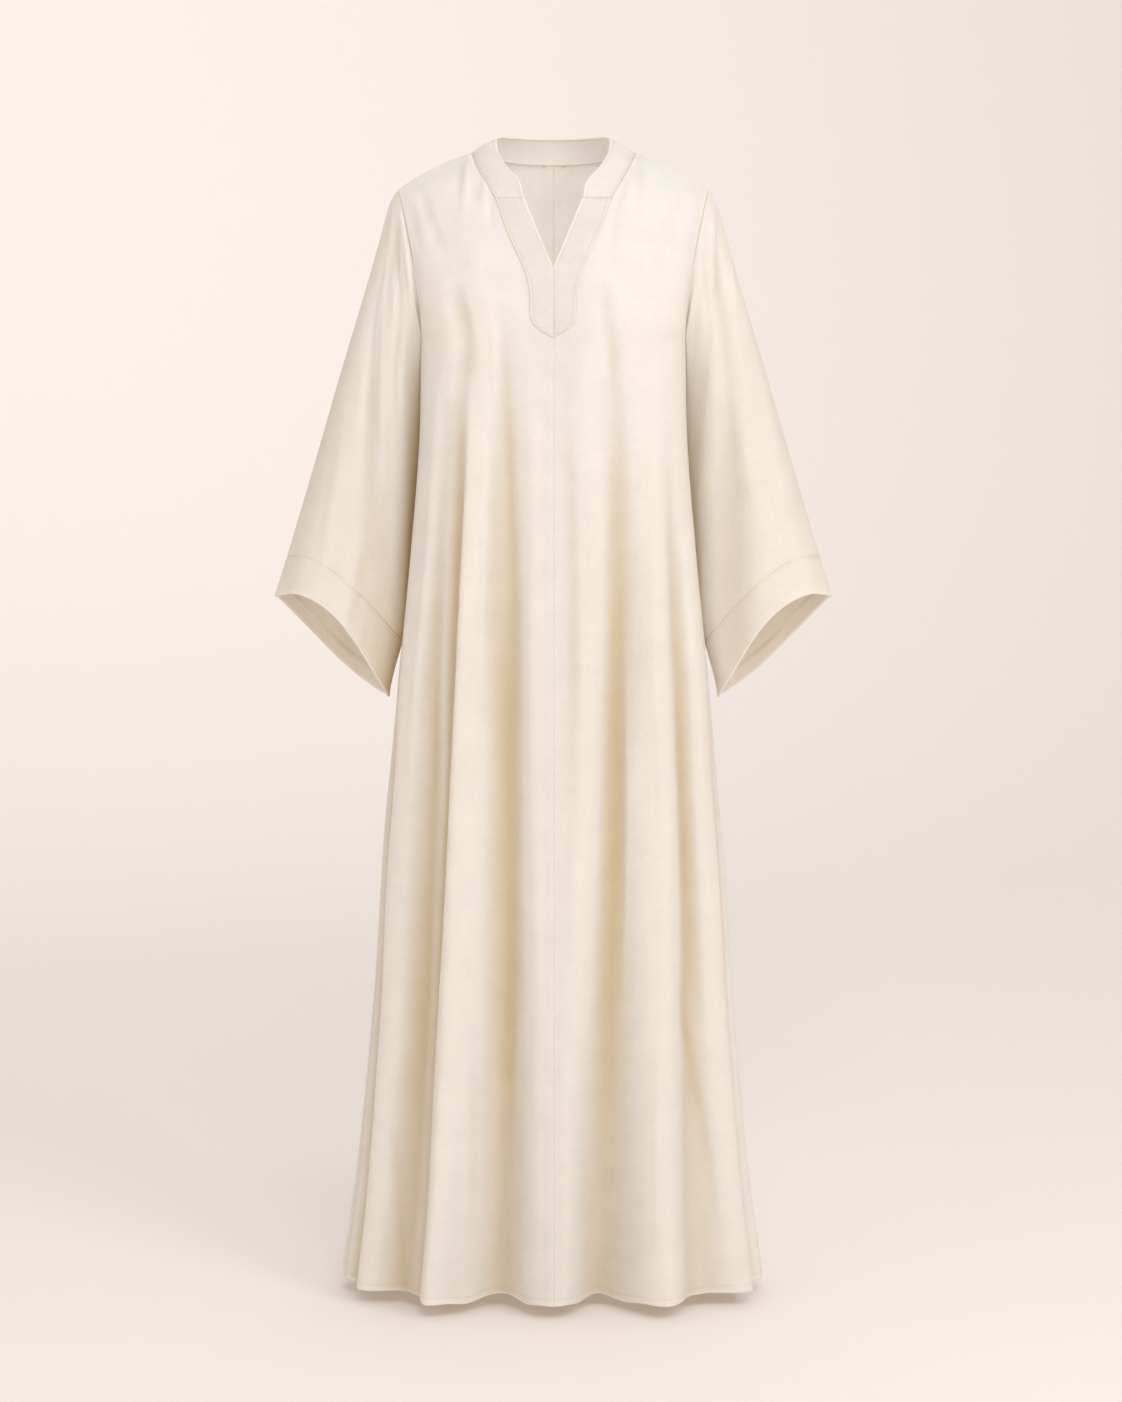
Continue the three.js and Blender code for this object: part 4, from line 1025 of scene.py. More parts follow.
def place_on_front(x, z):
    """Across and up of the front's point at a distance from the centre line and a height."""
    arm_x, power, arc_at = (yoke["front"][name] for name in ("arm_x", "power", "arc"))

    def across_at(up):
        arc = np.radians(arc_at(up))
        ratio = (x / arm_x(up)) ** (1 / power(up))
        return np.arcsin(np.clip(ratio * np.sin(arc), -1, 1)) / arc

    def above(up):
        return plain_point("front", 1, across_at(up), up)[..., 2] - z

    up = solve(above, np.zeros_like(x), np.ones_like(x))
    return across_at(up), up


def band_grid(down_steps=110, middle_steps=7):
    """The right band's rows of points as x and z, and each row's inner edge and width."""
    outline = curve(BAND_OUTLINE, "z", "half_width")
    top, tip = BAND_OUTLINE["z"][0], BAND_OUTLINE["z"][-1]
    down = np.concatenate([[0, 0.003, 0.008], np.linspace(0.014, 1, down_steps)])
    z = top + (tip - top) * down
    inner = np.maximum(opening_half_width("front", z - 0.4), 0.08)
    width = np.maximum(outline(z) - inner, 0.4)
    # the fine steps at the edges shrink where the band is narrow
    fine = np.array([0, 0.4, 0.9, 1.5, 2.2, 3.0, 4.0, 5.2])
    x = np.array([
        start + steps_from_edges(wide, fine * min(1, wide / 14), middle_steps)
        for start, wide in zip(inner, width)
    ])
    return x, np.broadcast_to(z[:, None], x.shape), inner, width


def make_band(side, name):
    """One half of the neck band, laid on the front."""
    lift = bpy.context.scene.kaftan_cloth.band_lift * MM
    x, z, _, _ = band_grid()
    across, up = place_on_front(x, z)
    base = body_point("front", side, across, up)
    normals = body_normal("front", side, across, up)
    to_inner, drop = lengths(base, 1), lengths(base, 0)
    to_outer = to_inner[:, -1:] - to_inner
    # towards the pointed end the outer edge closes in from below
    to_edge = np.minimum(to_outer, (drop[-1:] - drop) * 0.82)
    height = lift + 0.15 - (lift - 0.35) * line_at(to_edge, 0, 0.9)
    height += 0.35 * line_at(to_edge, 1.6) + stitched_line(to_edge, BAND_STITCH, 0.32)
    in_v = smooth(z, V_POINT_Z - 6, V_POINT_Z + 6)
    height += in_v * (0.55 * line_at(to_inner, 1.2, 1.1) + stitched_line(to_inner, NECK_STITCH, 0.25))
    height += (1 - in_v) * seam_groove(to_inner) * 0.8
    height += seam_groove(drop) * 0.25
    outer = base + normals * height[..., None]
    inner_face = base + normals * 0.12
    # its upper end rises to lie flush with the collar's front end
    shift = flush_shift(outer, to_outer[0] / (to_outer[0] + to_inner[0]))
    outer[..., 1] += shift
    inner_face[..., 1] += shift
    outer[..., 2] -= (outer[0, :, 2] - BAND_OUTLINE["z"][0])[None] * (1 - smooth(drop, 0, 5))
    uv = np.stack([side * x, -drop + 900], axis=-1)
    # Painted shade and highlights: seam lines, turned edges and stitching on the band, and a centre line
    # painted darker on the right half and lighter on the left.
    depth = painted_lines(to_edge, *BAND_TINT) + in_v * painted_lines(to_inner, *V_TINT) + 0.8 * line_at(drop, 0.2)
    depth += (1 - in_v) * (3.0 if side > 0 else -2.0) * line_at(to_inner, 0.4)
    return cloth_shell(name, outer, inner_face, uv, depth, np.zeros(x.shape))


# ---- Collar ------------------------------------------------------------------------------------

collar_top = curves(COLLAR_TOP, "share")
# Columns of one half of the collar, and its rows as parts of its height.
COLLAR_COLUMNS = 110
COLLAR_ROWS = np.concatenate([
    [0, 0.02, 0.045, 0.075, 0.11, 0.15, 0.2],
    np.linspace(0.27, 0.8, 9),
    [0.85, 0.89, 0.92, 0.945, 0.965, 0.985, 1],
])


def collar_end():
    """The outer face of the collar's right front end: its seam corner and its top corner."""
    seam = collar_line(COLLAR_COLUMNS)[0]
    top = np.array([collar_top[axis](0.0) for axis in "xyz"], float).ravel()
    face = unit(np.cross(unit(seam[1] - seam[0]), top - seam[0]))
    face = face if face[1] < 0 else -face
    return seam[0] + face * COLLAR_FLUSH, top + face * COLLAR_FLUSH


def flush_shift(points, share):
    """How far points on the band move along Y to lie flush with the collar's front end: rows run down
    from the end, and share is the part of the way across the band to its inner edge."""
    low, high = collar_end()
    gap = (low[1] + (high[1] - low[1]) * share) - points[0, ..., 1]
    return gap * (1 - smooth(lengths(points, 0), 0, FLUSH_REACH))


def collar_line(count):
    """The neckline's seam from the collar's front end to the centre back, even by length."""
    front, back = YOKE_UPS["front"][LOW_STEPS:], YOKE_UPS["back"][LOW_STEPS:][::-1]
    # the shoulder seam, the last place of the front and the first of the back, is counted once
    shoulder = len(front) - 1
    fine = np.linspace(0, shoulder + len(back) - 1, count)
    points, normals = [], []
    for panel, ups, first, here in (
        ("front", front, 0, fine[fine <= shoulder + 1e-9]),
        ("back", back, shoulder, fine[fine > shoulder + 1e-9]),
    ):
        up = np.interp(here, first + np.arange(len(ups)), ups)
        across = row_start(panel, up)
        points.append(plain_point(panel, 1, across, up))
        normals.append(body_normal(panel, 1, across, up))
    return np.concatenate(points), np.concatenate(normals)


def whole_collar(half, mirror):
    """Both halves of the collar's grid from its right half."""
    return np.concatenate([(half * np.array(mirror))[:, :-1], half[:, ::-1]], axis=1)


def make_collar(name):
    """The stand collar, drawn as its right half and mirrored."""
    wall = bpy.context.scene.kaftan_cloth.wall * MM * COLLAR_LAYERS
    seam, normal = collar_line(COLLAR_COLUMNS)
    share = np.linspace(0, 1, COLLAR_COLUMNS)
    ahead = unit(np.gradient(seam, axis=0))
    ahead[-1] = (-1, 0, 0)
    away = unit(np.cross(normal, ahead))
    away = np.where(np.sum(away * seam, axis=1, keepdims=True) > 0, -away, away)
    top = np.stack([collar_top[axis](share) for axis in "xyz"], axis=-1)
    face = unit(np.cross(ahead, top - seam))
    outward = seam * (1, 1, 0) + (0, 0, 30)
    face = np.where(np.sum(face * outward, axis=1, keepdims=True) < 0, -face, face)
    height = np.linalg.norm(top - seam, axis=1)[None]
    rows_up = COLLAR_ROWS[:, None]
    base = seam + away * 0.12
    line = base[None] + (top - base)[None] * rows_up[..., None]
    # the collar bulges a little between its edges, less at its front end
    bulge = 4 * rows_up * (1 - rows_up) * (0.05 + 2.45 * smooth(share, 0.0, 0.2))[None]
    bulge = bulge + COLLAR_FLUSH * (1 - smooth(share, 0.02, 0.14))[None]
    run = np.concatenate([[0], np.cumsum(np.linalg.norm(np.diff((seam + top) / 2, axis=0), axis=1))])
    from_base, from_top = rows_up * height, (1 - rows_up) * height
    from_end = np.broadcast_to(run[None], from_base.shape)
    profile = bulge + seam_groove(from_base) + stitched_line(from_base, NECK_STITCH, 0.35)
    profile += 0.45 * line_at(from_top, 1.2, 1.1) + stitched_line(from_top, NECK_STITCH, 0.22)
    profile += seam_groove(from_end) * 0.25 - 0.8 * line_at(from_top, 0, 0.6)
    profile += puckers(run[None] + 40, from_base - 3, 0.22, 4.0)
    inside = wall + 0.45 * line_at(from_top, 1.2, 1.1) + stitched_line(from_top, NECK_STITCH, 0.25)
    inside += 0.5 * line_at(from_base, 1.4, 1.3) - 0.6 * line_at(from_top, 0, 0.6)
    outer = line + face[None] * profile[..., None]
    inner = line + face[None] * (bulge - inside)[..., None]
    # Painted shade and highlights along the collar's seam, its turned top edge and its front end, outside and
    # inside.
    depth = painted_lines(from_base, *COLLAR_SEAM_TINT) + painted_lines(from_top, *COLLAR_TOP_TINT)
    depth += 0.6 * line_at(from_end, 0.2)
    inner_depth = painted_lines(from_top, *COLLAR_INSIDE_TOP_TINT) + painted_lines(from_base, *COLLAR_INSIDE_SEAM_TINT)
    # the cloth's threads run on round the centre back
    uv = np.stack([run[-1] - from_end, from_base + 40], axis=-1)
    outer, inner = whole_collar(outer, (-1, 1, 1)), whole_collar(inner, (-1, 1, 1))
    depth, inner_depth = (whole_collar(value[..., None], 1)[..., 0] for value in (depth, inner_depth))
    return cloth_shell(name, outer, inner, whole_collar(uv, (-1, 1)), depth, inner_depth)


# ---- Sleeves and cuffs -------------------------------------------------------------------------

ring = curves(SLEEVE_RINGS, "share")
# The part of the way down the sleeve that its folds' middle values belong to.
SLEEVE_MIDDLE = 0.45


def body_side_x(y, z):
    """How far out the body's side reaches at a depth and a height below the armpit."""
    up = np.minimum((z - ARMPIT_Z) / SKIRT_LENGTH, -1e-6)
    reach = []
    for panel, sign in (("front", 1), ("back", -1)):

        def behind(share):
            return sign * (plain_point(panel, 1, share, up)[..., 1] - y)

        across = solve(behind, np.full(y.shape, 0.3), np.ones(y.shape))
        reach.append(plain_point(panel, 1, across, up)[..., 0])
    return np.where(y < section["side_y"](z), *reach)


def ring_point(degrees, share):
    """A point of the sleeve's ring before it meets the armhole."""
    degrees, share = np.broadcast_arrays(np.asarray(degrees, float), np.asarray(share, float))
    cos, sin = np.cos(np.radians(degrees)), np.sin(np.radians(degrees))
    at = {name: column(share) for name, column in ring.items()}
    half_x, half_z = (at["out_x"] - at["in_x"]) / 2, (at["out_z"] - at["in_z"]) / 2
    edge = np.where(sin > 0, at["front"], at["back"])
    y = at["middle"] + (edge - at["middle"]) * np.abs(sin)
    rise = at["rise"] * sin * sin * np.where(sin > 0, 1, -0.55)
    out = np.zeros(share.shape)
    high = np.clip(share / SLEEVE_MIDDLE, 0, 1)
    low = np.clip((share - SLEEVE_MIDDLE) / (1 - SLEEVE_MIDDLE), 0, 1)
    for i in range(len(SLEEVE_FOLDS["top"])):
        fold = {name: column[i] for name, column in SLEEVE_FOLDS.items()}
        centre = fold["top"] + (fold["mid"] - fold["top"]) * high + (fold["cuff"] - fold["mid"]) * low
        height = fold["out_top"] + (fold["out_mid"] - fold["out_top"]) * high
        height = height + (fold["out_cuff"] - fold["out_mid"]) * low
        offset = np.mod(degrees - centre + 180, 360) - 180
        out += height * hump(offset, fold["half_width"])
    out *= smooth(share, 0, 0.12)
    chord = np.hypot(half_x, half_z)
    return np.stack([
        at["out_x"] - half_x + (half_x + out * half_x / chord) * cos,
        y - out * sin,
        at["out_z"] - half_z + (half_z + out * half_z / chord) * cos + rise,
    ], axis=-1)


def armhole_point(way):
    """The armhole's point that the sleeve meets at a part of the way round."""
    steps = len(YOKE_UPS["front"]) - 1
    row = np.abs(1 - 2 * way) * steps
    points = []
    for panel in ("front", "back"):
        up = np.interp(row, np.arange(steps + 1), YOKE_UPS[panel])
        points.append(plain_point(panel, 1, np.ones(way.shape), up))
    return np.where((way <= 0.5)[..., None], *points)


def plain_sleeve(side, way, share):
    """The sleeve without its small creases: way runs once round it from its outer side over the front,
    and share runs down from the armhole."""
    way = np.mod(way, 1)
    degrees = way * 360
    point = ring_point(degrees, share)
    leaving = 1 - smooth(share, 0, 0.32)
    point = point + (armhole_point(way) - ring_point(degrees, np.zeros(way.shape))) * leaving[..., None]
    # the inner side hangs against the body, and stands off it again at the cuff's edge
    above_cuff = 1 - smooth(share, 0.76, 1)
    lean = SLEEVE_LEAN * above_cuff - 4 * (1 - above_cuff)
    point[..., 0] -= lean * hump(degrees - 180, 95) * smooth(share, 0.004, 0.07)
    point[..., 1] += SLEEVE_TUCK * hump(degrees - 150, 62) * smooth(share, 0.02, 0.2) * above_cuff
    # the back of the cuff's edge hangs nearly straight
    point[..., 2] += 8 * hump(degrees - 284, 72) * smooth(share, 0.55, 1)
    limit = body_side_x(point[..., 1], point[..., 2]) + SLEEVE_CLEARANCE
    over = point[..., 0] - limit
    kept = limit + (over + np.hypot(over, SLEEVE_CLEARANCE)) / 2
    near = (point[..., 2] < ARMPIT_Z) & (np.abs(degrees - 180) < 110)
    point[..., 0] = side * np.where(near, kept, point[..., 0])
    return point


def sleeve_grid(side, way, share):
    """The sleeve's cloth with its small creases, and its outward normals."""
    way, share = np.broadcast_arrays(way, share)
    point = plain_sleeve(side, way, share)
    centre = (ring_point(0 * way, share) + ring_point(0 * way + 180, share)) / 2 * (side, 1, 1)
    normal = grid_normals(point, True, point - centre)
    front = np.sin(2 * math.pi * way)
    weight = smooth(np.abs(front), 0.0, 0.35) * smooth(share, -0.001, 0.012)
    x, z = point[..., 0], point[..., 2]
    out = np.where(front > 0, creases_out("sleeve_front", x, z), creases_out("sleeve_back", x, z))
    point = point + normal * (out * weight)[..., None]
    return point, grid_normals(point, True, point - centre)


def seam_share(way):
    """How far down the sleeve the cuff's seam lies, at a part of the way round."""
    inward = (1 - np.cos(2 * math.pi * way)) / 2
    return CUFF_SEAM["outer"] + (CUFF_SEAM["inner"] - CUFF_SEAM["outer"]) * inward


def hanging_shade(way, points):
    """The sleeve's shade where it hangs against the body."""
    weight = np.where(points[..., 0] < 0, 5.0, 2.0)
    turned = np.mod(way, 1) * 360 - 180
    shade = weight * hump(turned, 100) + 2.4 * weight * hump(turned + 8, 42)
    return shade * (1 - smooth(points[..., 2], -300, -200))


# Columns round a sleeve, and rows near an edge, as parts of the sleeve's and the cuff's length.
SLEEVE_WAY = np.linspace(0, 1, 151)[None]
SLEEVE_STEPS = np.array([0, 0.5, 1.1, 1.8, 2.6, 3.6, 5, 7, 9.5]) / 480
CUFF_DEPTH = 60
CUFF_STEPS = np.array([0, 0.5, 1.1, 1.8, 2.6, 3.5, 4.6, 6]) / CUFF_DEPTH


def make_sleeve(side, name):
    """One sleeve down to the cuff's seam."""
    wall = bpy.context.scene.kaftan_cloth.wall * MM
    down = steps_from_edges(1, SLEEVE_STEPS, 102)[:, None]
    points, normals = sleeve_grid(side, SLEEVE_WAY, seam_share(SLEEVE_WAY) * down**1.12)
    run, from_seam = lengths(points, 1), lengths(points, 0)
    from_cuff = from_seam[-1:] - from_seam
    profile = seam_groove(from_seam) + seam_groove(from_cuff)
    profile += puckers(run + 70 * side, from_cuff, 0.4, 7.0) * smooth(from_cuff, 0.5, 3)
    profile += puckers(run * 0.7 + 30, from_seam, 0.5, 9.0) * smooth(from_seam, 0.5, 3)
    outer = points + normals * profile[..., None]
    inner = points - normals * wall
    uv = np.stack([side * run, -from_seam + 2400], axis=-1)
    depth = fold_depth(points, normals, run, loops=True)
    # painted shade inside, and outside painted seam lines, a painted dark line by the cuff and painted shade
    # where it hangs against the body
    inner_depth = 2.0 - 0.4 * depth
    depth += painted_lines(from_seam, *ARMHOLE_TINT) + 4.0 * line_at(from_cuff, 0.2)
    depth += hanging_shade(SLEEVE_WAY, points)
    return cloth_shell(name, outer, inner, uv, depth, inner_depth, loops=True)


def make_cuff(side, name):
    """One cuff band, with its facing's edge inside."""
    wall = bpy.context.scene.kaftan_cloth.wall * MM * CUFF_LAYERS
    seam = seam_share(SLEEVE_WAY)
    share = seam + (1 - seam) * steps_from_edges(1, CUFF_STEPS, 12)[:, None]
    points, normals = sleeve_grid(side, SLEEVE_WAY, share)
    run, from_seam = lengths(points, 1), lengths(points, 0)
    from_edge = from_seam[-1:] - from_seam
    profile = seam_groove(from_seam) * 0.9 + stitched_line(from_seam, CUFF_STITCH, 0.3)
    profile += 0.4 * line_at(from_edge, 1.3) - 0.8 * line_at(from_edge, 0, 0.6)
    profile += puckers(run, from_seam - 3, 0.3, 5.0)
    profile += puckers(run * 0.8 + 9, from_edge - 6, 0.3, 6.0) * smooth(from_edge, 1, 5)
    inside = wall + 0.5 * (1 - smooth(from_edge, CUFF_FACING - 0.6, CUFF_FACING + 0.6))
    inside += 0.35 * line_at(from_edge, CUFF_FACING - 2, 1.4)
    outer = points + normals * profile[..., None]
    inner = points - normals * inside[..., None]
    uv = np.stack([side * run, -from_seam + 3100], axis=-1)
    depth = fold_depth(points, normals, run, loops=True)
    # painted seam and edge lines, painted shade where it hangs against the body, and painted shade inside
    # with a painted highlight at the edge
    depth += painted_lines(from_seam, *CUFF_SEAM_TINT) + painted_lines(from_edge, *CUFF_EDGE_TINT)
    depth += hanging_shade(SLEEVE_WAY, points)
    inner_depth = 4.0 + painted_lines(from_edge, *CUFF_INSIDE_TINT)
    return cloth_shell(name, outer, inner, uv, depth, inner_depth, loops=True)


# ---- Stitching ---------------------------------------------------------------------------------


def on_front(side, x, z, lift, share):
    """A line on the band, by its distance from the centre line, its height, how far it stands off the
    front, and the part of the way across the band that it runs along."""
    across, up = place_on_front(x, z)
    line = body_point("front", side, across, up) + body_normal("front", side, across, up) * lift
    line[:, 1] += flush_shift(line[:, None], share)[:, 0]
    return line


def stitch_lines():
    """The lines that rows of stitches follow, as open lists of points in millimetres."""
    lines = []
    hem = bpy.context.scene.kaftan_cloth.hem_depth * MM
    for side, _ in SIDES:
        across = np.linspace(0.004, 0.996, 320)
        up = np.full(across.shape, -1 + hem / SKIRT_LENGTH)
        for panel in ("front", "back"):
            line = body_point(panel, side, across, up) + body_normal(panel, side, across, up) * 0.05
            if panel == "front":
                line[:, 2] -= hem_swing(line)
            lines.append(line)
        _, z, inner, width = band_grid()
        height = z[:, 0]
        keep = (height > -228) & (width > 6)
        by_outer_edge = np.maximum(inner + width - BAND_STITCH, inner + 1.5)[keep]
        lines.append(on_front(side, by_outer_edge, height[keep], 1.5, 0.12))
        keep = height > V_POINT_Z + 5
        lines.append(on_front(side, inner[keep] + NECK_STITCH, height[keep], 1.55, 0.9))
        way = np.linspace(0, 1, 301)[None]
        seam = seam_share(way)
        below_seam = seam + CUFF_STITCH / CUFF_DEPTH * (1 - seam)
        by_facing = 1 - (CUFF_FACING - 1) / CUFF_DEPTH * (1 - seam)
        for share in (below_seam, by_facing):
            points, normals = sleeve_grid(side, way, np.concatenate([share - 0.004, share, share + 0.004]))
            lines.append(points[1] + normals[1] * 0.02)
    return lines


def stitch_tree():
    """Geometry Nodes: lays one short thread at each step along every line."""
    tree = bpy.data.node_groups.new("Row of stitches", "GeometryNodeTree")
    tree.interface.new_socket("Geometry", in_out="INPUT", socket_type="NodeSocketGeometry")
    for name, default in (("Pitch", 0.003), ("Length", 0.0023), ("Thread", 0.0004)):
        socket = tree.interface.new_socket(name, in_out="INPUT", socket_type="NodeSocketFloat")
        socket.default_value = default
    socket = tree.interface.new_socket("Material", in_out="INPUT", socket_type="NodeSocketMaterial")
    tree.interface.new_socket("Geometry", in_out="OUTPUT", socket_type="NodeSocketGeometry")
    given = add_node(tree, "NodeGroupInput").outputs
    path = add_node(tree, "GeometryNodeMeshToCurve", None, {"Mesh": given["Geometry"]})
    points = add_node(tree, "GeometryNodeCurveToPoints", {"mode": "LENGTH"},
                      {"Curve": path.outputs[0], "Length": given["Pitch"]})
    bead = add_node(tree, "GeometryNodeMeshUVSphere", None, {"Segments": 6, "Rings": 4, "Radius": 0.5})
    size = add_node(tree, "ShaderNodeCombineXYZ", None,
                    {"X": given["Thread"], "Y": given["Thread"], "Z": given["Length"]})
    thread = add_node(tree, "GeometryNodeTransform", None,
                      {"Geometry": bead.outputs[0], "Scale": size.outputs[0]})
    placed = add_node(tree, "GeometryNodeInstanceOnPoints", None,
                      {"Points": points.outputs["Points"], "Instance": thread.outputs[0],
                       "Rotation": points.outputs["Rotation"]})
    real = add_node(tree, "GeometryNodeRealizeInstances", None, {"Geometry": placed.outputs[0]})
    painted = add_node(tree, "GeometryNodeSetMaterial", None,
                       {"Geometry": real.outputs[0], "Material": given["Material"]})
    add_node(tree, "NodeGroupOutput", None, {"Geometry": painted.outputs[0]})
    return tree


def make_stitching():
    """Rows of short threads along the stitch lines, as one mesh."""
    settings = bpy.context.scene.kaftan_stitching
    points, edges = [], []
    for line in stitch_lines():
        first = len(points)
        points += [tuple(point) for point in line / MM]
        edges += [(first + i, first + i + 1) for i in range(len(line) - 1)]
    mesh = bpy.data.meshes.new("stitch lines")
    mesh.from_pydata(points, edges, [])
    guide = bpy.data.objects.new("stitch lines", mesh)
    bpy.context.scene.collection.objects.link(guide)
    modifier = guide.modifiers.new("Row of stitches", "NODES")
    modifier.node_group = stitch_tree()
    values = {"Pitch": settings.pitch, "Length": settings.length, "Thread": settings.thread,
              "Material": sewing_thread()}
    for item in modifier.node_group.interface.items_tree:
        if item.in_out == "INPUT" and item.name in values:
            modifier[item.identifier] = values[item.name]
    bpy.context.view_layer.update()
    seen = guide.evaluated_get(bpy.context.evaluated_depsgraph_get())
    made = bpy.data.meshes.new_from_object(seen)
    guide.modifiers.remove(modifier)
    bpy.data.objects.remove(guide)
    made.name = "stitching"
    made.polygons.foreach_set("use_smooth", np.ones(len(made.polygons), bool))
    thing = bpy.data.objects.new("stitching", made)
    bpy.context.scene.collection.objects.link(thing)
    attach(thing, BODY)


# ---- Operators ---------------------------------------------------------------------------------


class KAFTAN_OT_fronts(bpy.types.Operator):
    """Makes the two fronts with their folds, neckline and hem"""

    bl_idname = "kaftan.fronts"
    bl_label = "Fronts"

    def execute(self, context):
        for side, word in SIDES:
            thing = make_panel("front", side, f"front_{word}_cloth")
            finish_piece(thing, f"front_{word}")
        return {"FINISHED"}


class KAFTAN_OT_backs(bpy.types.Operator):
    """Makes the two backs with their folds, neckline and hem"""

    bl_idname = "kaftan.backs"
    bl_label = "Backs"

    def execute(self, context):
        for side, word in SIDES:
            thing = make_panel("back", side, f"back_{word}_cloth")
            finish_piece(thing, f"back_{word}")
        return {"FINISHED"}


class KAFTAN_OT_neck_band(bpy.types.Operator):
    """Makes the two halves of the applied neck band"""

    bl_idname = "kaftan.neck_band"
    bl_label = "Neck band"

    def execute(self, context):
        for side, word in SIDES:
            thing = make_band(side, f"band_{word}_cloth")
            finish_piece(thing, f"band_{word}")
        return {"FINISHED"}


class KAFTAN_OT_collar(bpy.types.Operator):
    """Makes the stand collar"""

    bl_idname = "kaftan.collar"
    bl_label = "Collar"

    def execute(self, context):
        finish_piece(make_collar("collar_cloth"), "collar")
        return {"FINISHED"}


class KAFTAN_OT_sleeves(bpy.types.Operator):
    """Makes the two bell sleeves with the creases at their heads"""

    bl_idname = "kaftan.sleeves"
    bl_label = "Sleeves"

    def execute(self, context):
        for side, word in SIDES:
            thing = make_sleeve(side, f"sleeve_{word}_cloth")
            finish_piece(thing, f"sleeve_{word}")
        return {"FINISHED"}


class KAFTAN_OT_cuffs(bpy.types.Operator):
    """Makes the two wide cuff bands with their facings"""

    bl_idname = "kaftan.cuffs"
    bl_label = "Cuffs"

    def execute(self, context):
        for side, word in SIDES:
            thing = make_cuff(side, f"cuff_{word}_cloth")
            finish_piece(thing, f"cuff_{word}")
        return {"FINISHED"}


class KAFTAN_OT_stitching(bpy.types.Operator):
    """Lays the rows of stitches along the hem, the band, the V and the cuffs"""

    bl_idname = "kaftan.stitching"
    bl_label = "Stitching"

    def execute(self, context):
        make_stitching()
        return {"FINISHED"}


# ---- Stage -------------------------------------------------------------------------------------

# Each light: its name, the setting with its power, its two sizes, its place, what it points at and its
# colour. Sizes and places are in metres.
LIGHTS = (
    ("key light", "key", (1.6, 1.8), (2.4, -2.9, 1.5), (0, 0, -0.6), (1.0, 1.0, 1.0)),
    ("fill light", "fill", (2.0, 2.4), (-2.8, -2.6, 0.2), (0, 0, -0.7), (1.0, 0.93, 0.84)),
    ("front light", "front", (1.8, 1.4), (0.4, -4.0, 2.0), (0, 0, -0.5), (1.0, 1.0, 1.0)),
    ("backdrop light", "backdrop", (1.4, 1.4), (-0.9, 3.4, 2.9), (-2.4, 6.9, 2.2), (1.0, 1.0, 1.0)),
    ("floor light", "floor", (3.0, 2.0), (0, 2.6, 2.6), (0, 3.3, -1.4), (1.0, 1.0, 1.0)),
)
# The floor is flat as far as its radius and then curves up over a width to a height, in metres.
FLOOR_RADIUS = 2.6
CURVE_WIDTH = 5.2
CURVE_HEIGHT = 4.4
FLOOR_TURNS = 96
# The camera's place in metres, how many degrees it looks down, and its lens and film in millimetres.
CAMERA_PLACE = (0.0096, -4.02, -0.36)
CAMERA_DOWN = 4.70
CAMERA_LENS = 81.4
CAMERA_FILM = 36


def soft_light(name, watts, size, place, aim, colour):
    """A rectangular light that points at a place and doesn't show itself."""
    light = bpy.data.lights.new(name, "AREA")
    light.shape = "RECTANGLE"
    light.size, light.size_y = size
    light.energy = watts
    light.color = colour
    thing = bpy.data.objects.new(name, light)
    bpy.context.scene.collection.objects.link(thing)
    thing.location = place
    look = np.array(aim) - np.array(place)
    flat = math.hypot(look[0], look[1])
    thing.rotation_euler = (math.pi / 2 + math.atan2(look[2], flat), 0, math.atan2(-look[0], look[1]))
    thing.visible_camera = False


def make_floor(settings):
    """The pale bowl: a flat floor that rises all round."""
    floor_z = HEM_Z / MM - settings.floor_gap
    turns = np.linspace(0, 2 * math.pi, FLOOR_TURNS + 1)[:-1]
    profile = [(radius, 0.0) for radius in np.linspace(0.05, FLOOR_RADIUS, 9)]
    profile += [
        (FLOOR_RADIUS + CURVE_WIDTH * math.sin(angle), CURVE_HEIGHT * (1 - math.cos(angle)))
        for angle in np.linspace(0, math.pi / 2, 28)[1:]
    ]
    points = [(r * math.cos(t), r * math.sin(t), floor_z + h) for r, h in profile for t in turns]
    faces = []
    for first in range(0, FLOOR_TURNS * (len(profile) - 1), FLOOR_TURNS):
        for i in range(FLOOR_TURNS):
            near, far = first + i, first + (i + 1) % FLOOR_TURNS
            faces.append((near, far, far + FLOOR_TURNS, near + FLOOR_TURNS))
    faces.append(tuple(range(FLOOR_TURNS)))
    mesh = bpy.data.meshes.new("floor")
    mesh.from_pydata(points, [], faces)
    mesh.polygons.foreach_set("use_smooth", np.ones(len(mesh.polygons), bool))
    floor = bpy.data.objects.new("floor", mesh)
    bpy.context.scene.collection.objects.link(floor)
    material = bpy.data.materials.new("matt studio paint")
    material.use_nodes = True
    shader = material.node_tree.nodes["Principled BSDF"]
    shader.inputs["Base Color"].default_value = (*settings.floor_colour, 1)
    shader.inputs["Roughness"].default_value = 0.95
    shader.inputs["Specular IOR Level"].default_value = 0.1
    floor.data.materials.append(material)


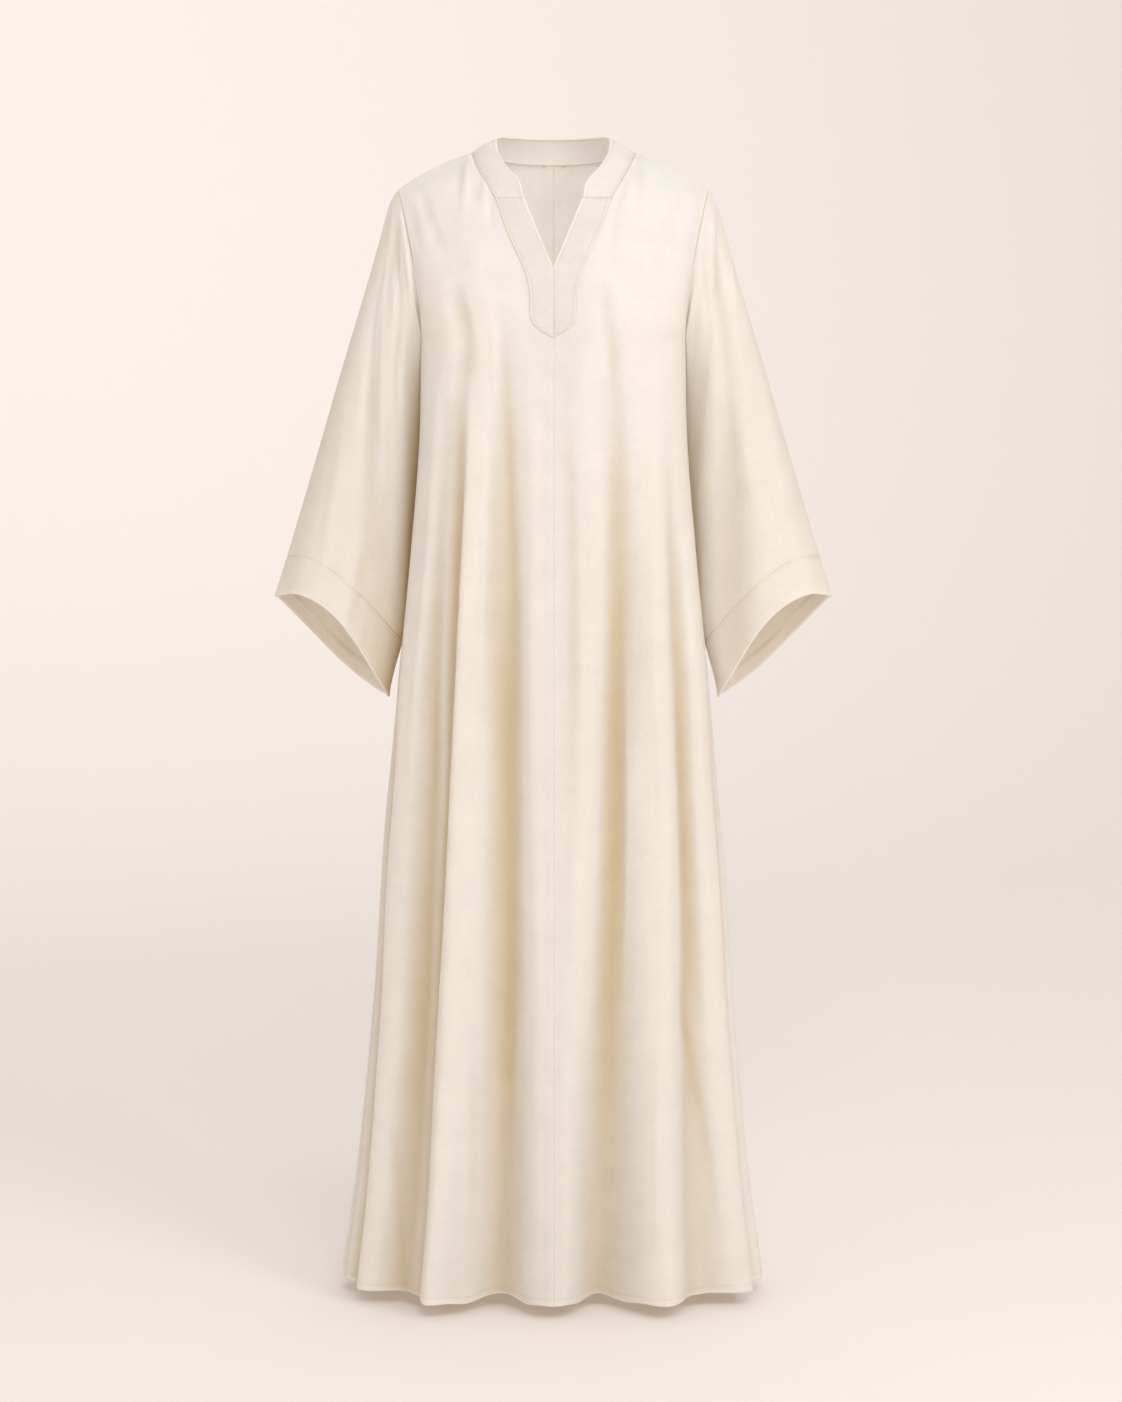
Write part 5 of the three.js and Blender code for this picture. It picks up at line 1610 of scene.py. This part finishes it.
class KAFTAN_OT_stage(bpy.types.Operator):
    """Makes the pale floor that rises all round, the soft lights and the camera"""

    bl_idname = "kaftan.stage"
    bl_label = "Stage"

    def execute(self, context):
        settings = context.scene.kaftan_stage
        make_floor(settings)
        for name, setting, size, place, aim, colour in LIGHTS:
            soft_light(name, getattr(settings, setting), size, place, aim, colour)
        world = bpy.data.worlds.new("studio room")
        world.use_nodes = True
        background = world.node_tree.nodes["Background"]
        background.inputs["Color"].default_value = (0.98, 0.99, 1.0, 1)
        background.inputs["Strength"].default_value = settings.room
        context.scene.world = world
        camera = bpy.data.cameras.new("camera")
        camera.lens = CAMERA_LENS
        camera.sensor_width = CAMERA_FILM
        eye = bpy.data.objects.new("camera", camera)
        context.scene.collection.objects.link(eye)
        eye.location = CAMERA_PLACE
        eye.rotation_euler = (math.radians(90 - CAMERA_DOWN), 0, 0)
        context.scene.camera = eye
        context.scene.view_settings.view_transform = "Standard"
        return {"FINISHED"}


OPERATORS = (KAFTAN_OT_stage, KAFTAN_OT_fronts, KAFTAN_OT_backs, KAFTAN_OT_neck_band, KAFTAN_OT_collar,
             KAFTAN_OT_sleeves, KAFTAN_OT_cuffs, KAFTAN_OT_stitching)


class VIEW3D_PT_kaftan(bpy.types.Panel):
    """The kaftan's settings and a button for each operator"""

    bl_label = "Maxi kaftan"
    bl_idname = "VIEW3D_PT_kaftan"
    bl_space_type = "VIEW_3D"
    bl_region_type = "UI"
    bl_category = "Kaftan"

    def draw(self, context):
        for name in ("kaftan_cloth", "kaftan_stitching", "kaftan_stage"):
            group = getattr(context.scene, name)
            box = self.layout.box()
            for prop in group.bl_rna.properties:
                if prop.identifier not in ("rna_type", "name"):
                    box.prop(group, prop.identifier)
        for operator in OPERATORS:
            self.layout.operator(operator.bl_idname)


GROUPS = {"kaftan_cloth": KaftanCloth, "kaftan_stitching": KaftanStitching, "kaftan_stage": KaftanStage}


def register():
    for group in (*GROUPS.values(), *OPERATORS, VIEW3D_PT_kaftan):
        bpy.utils.register_class(group)
    for name, group in GROUPS.items():
        setattr(bpy.types.Scene, name, PointerProperty(type=group))


def unregister():
    for name in GROUPS:
        delattr(bpy.types.Scene, name)
    for group in (VIEW3D_PT_kaftan, *reversed(OPERATORS), *GROUPS.values()):
        bpy.utils.unregister_class(group)


def main():
    register()
    for operator in OPERATORS:
        family, name = operator.bl_idname.split(".")
        getattr(getattr(bpy.ops, family), name)()


if __name__ == "__main__":
    main()
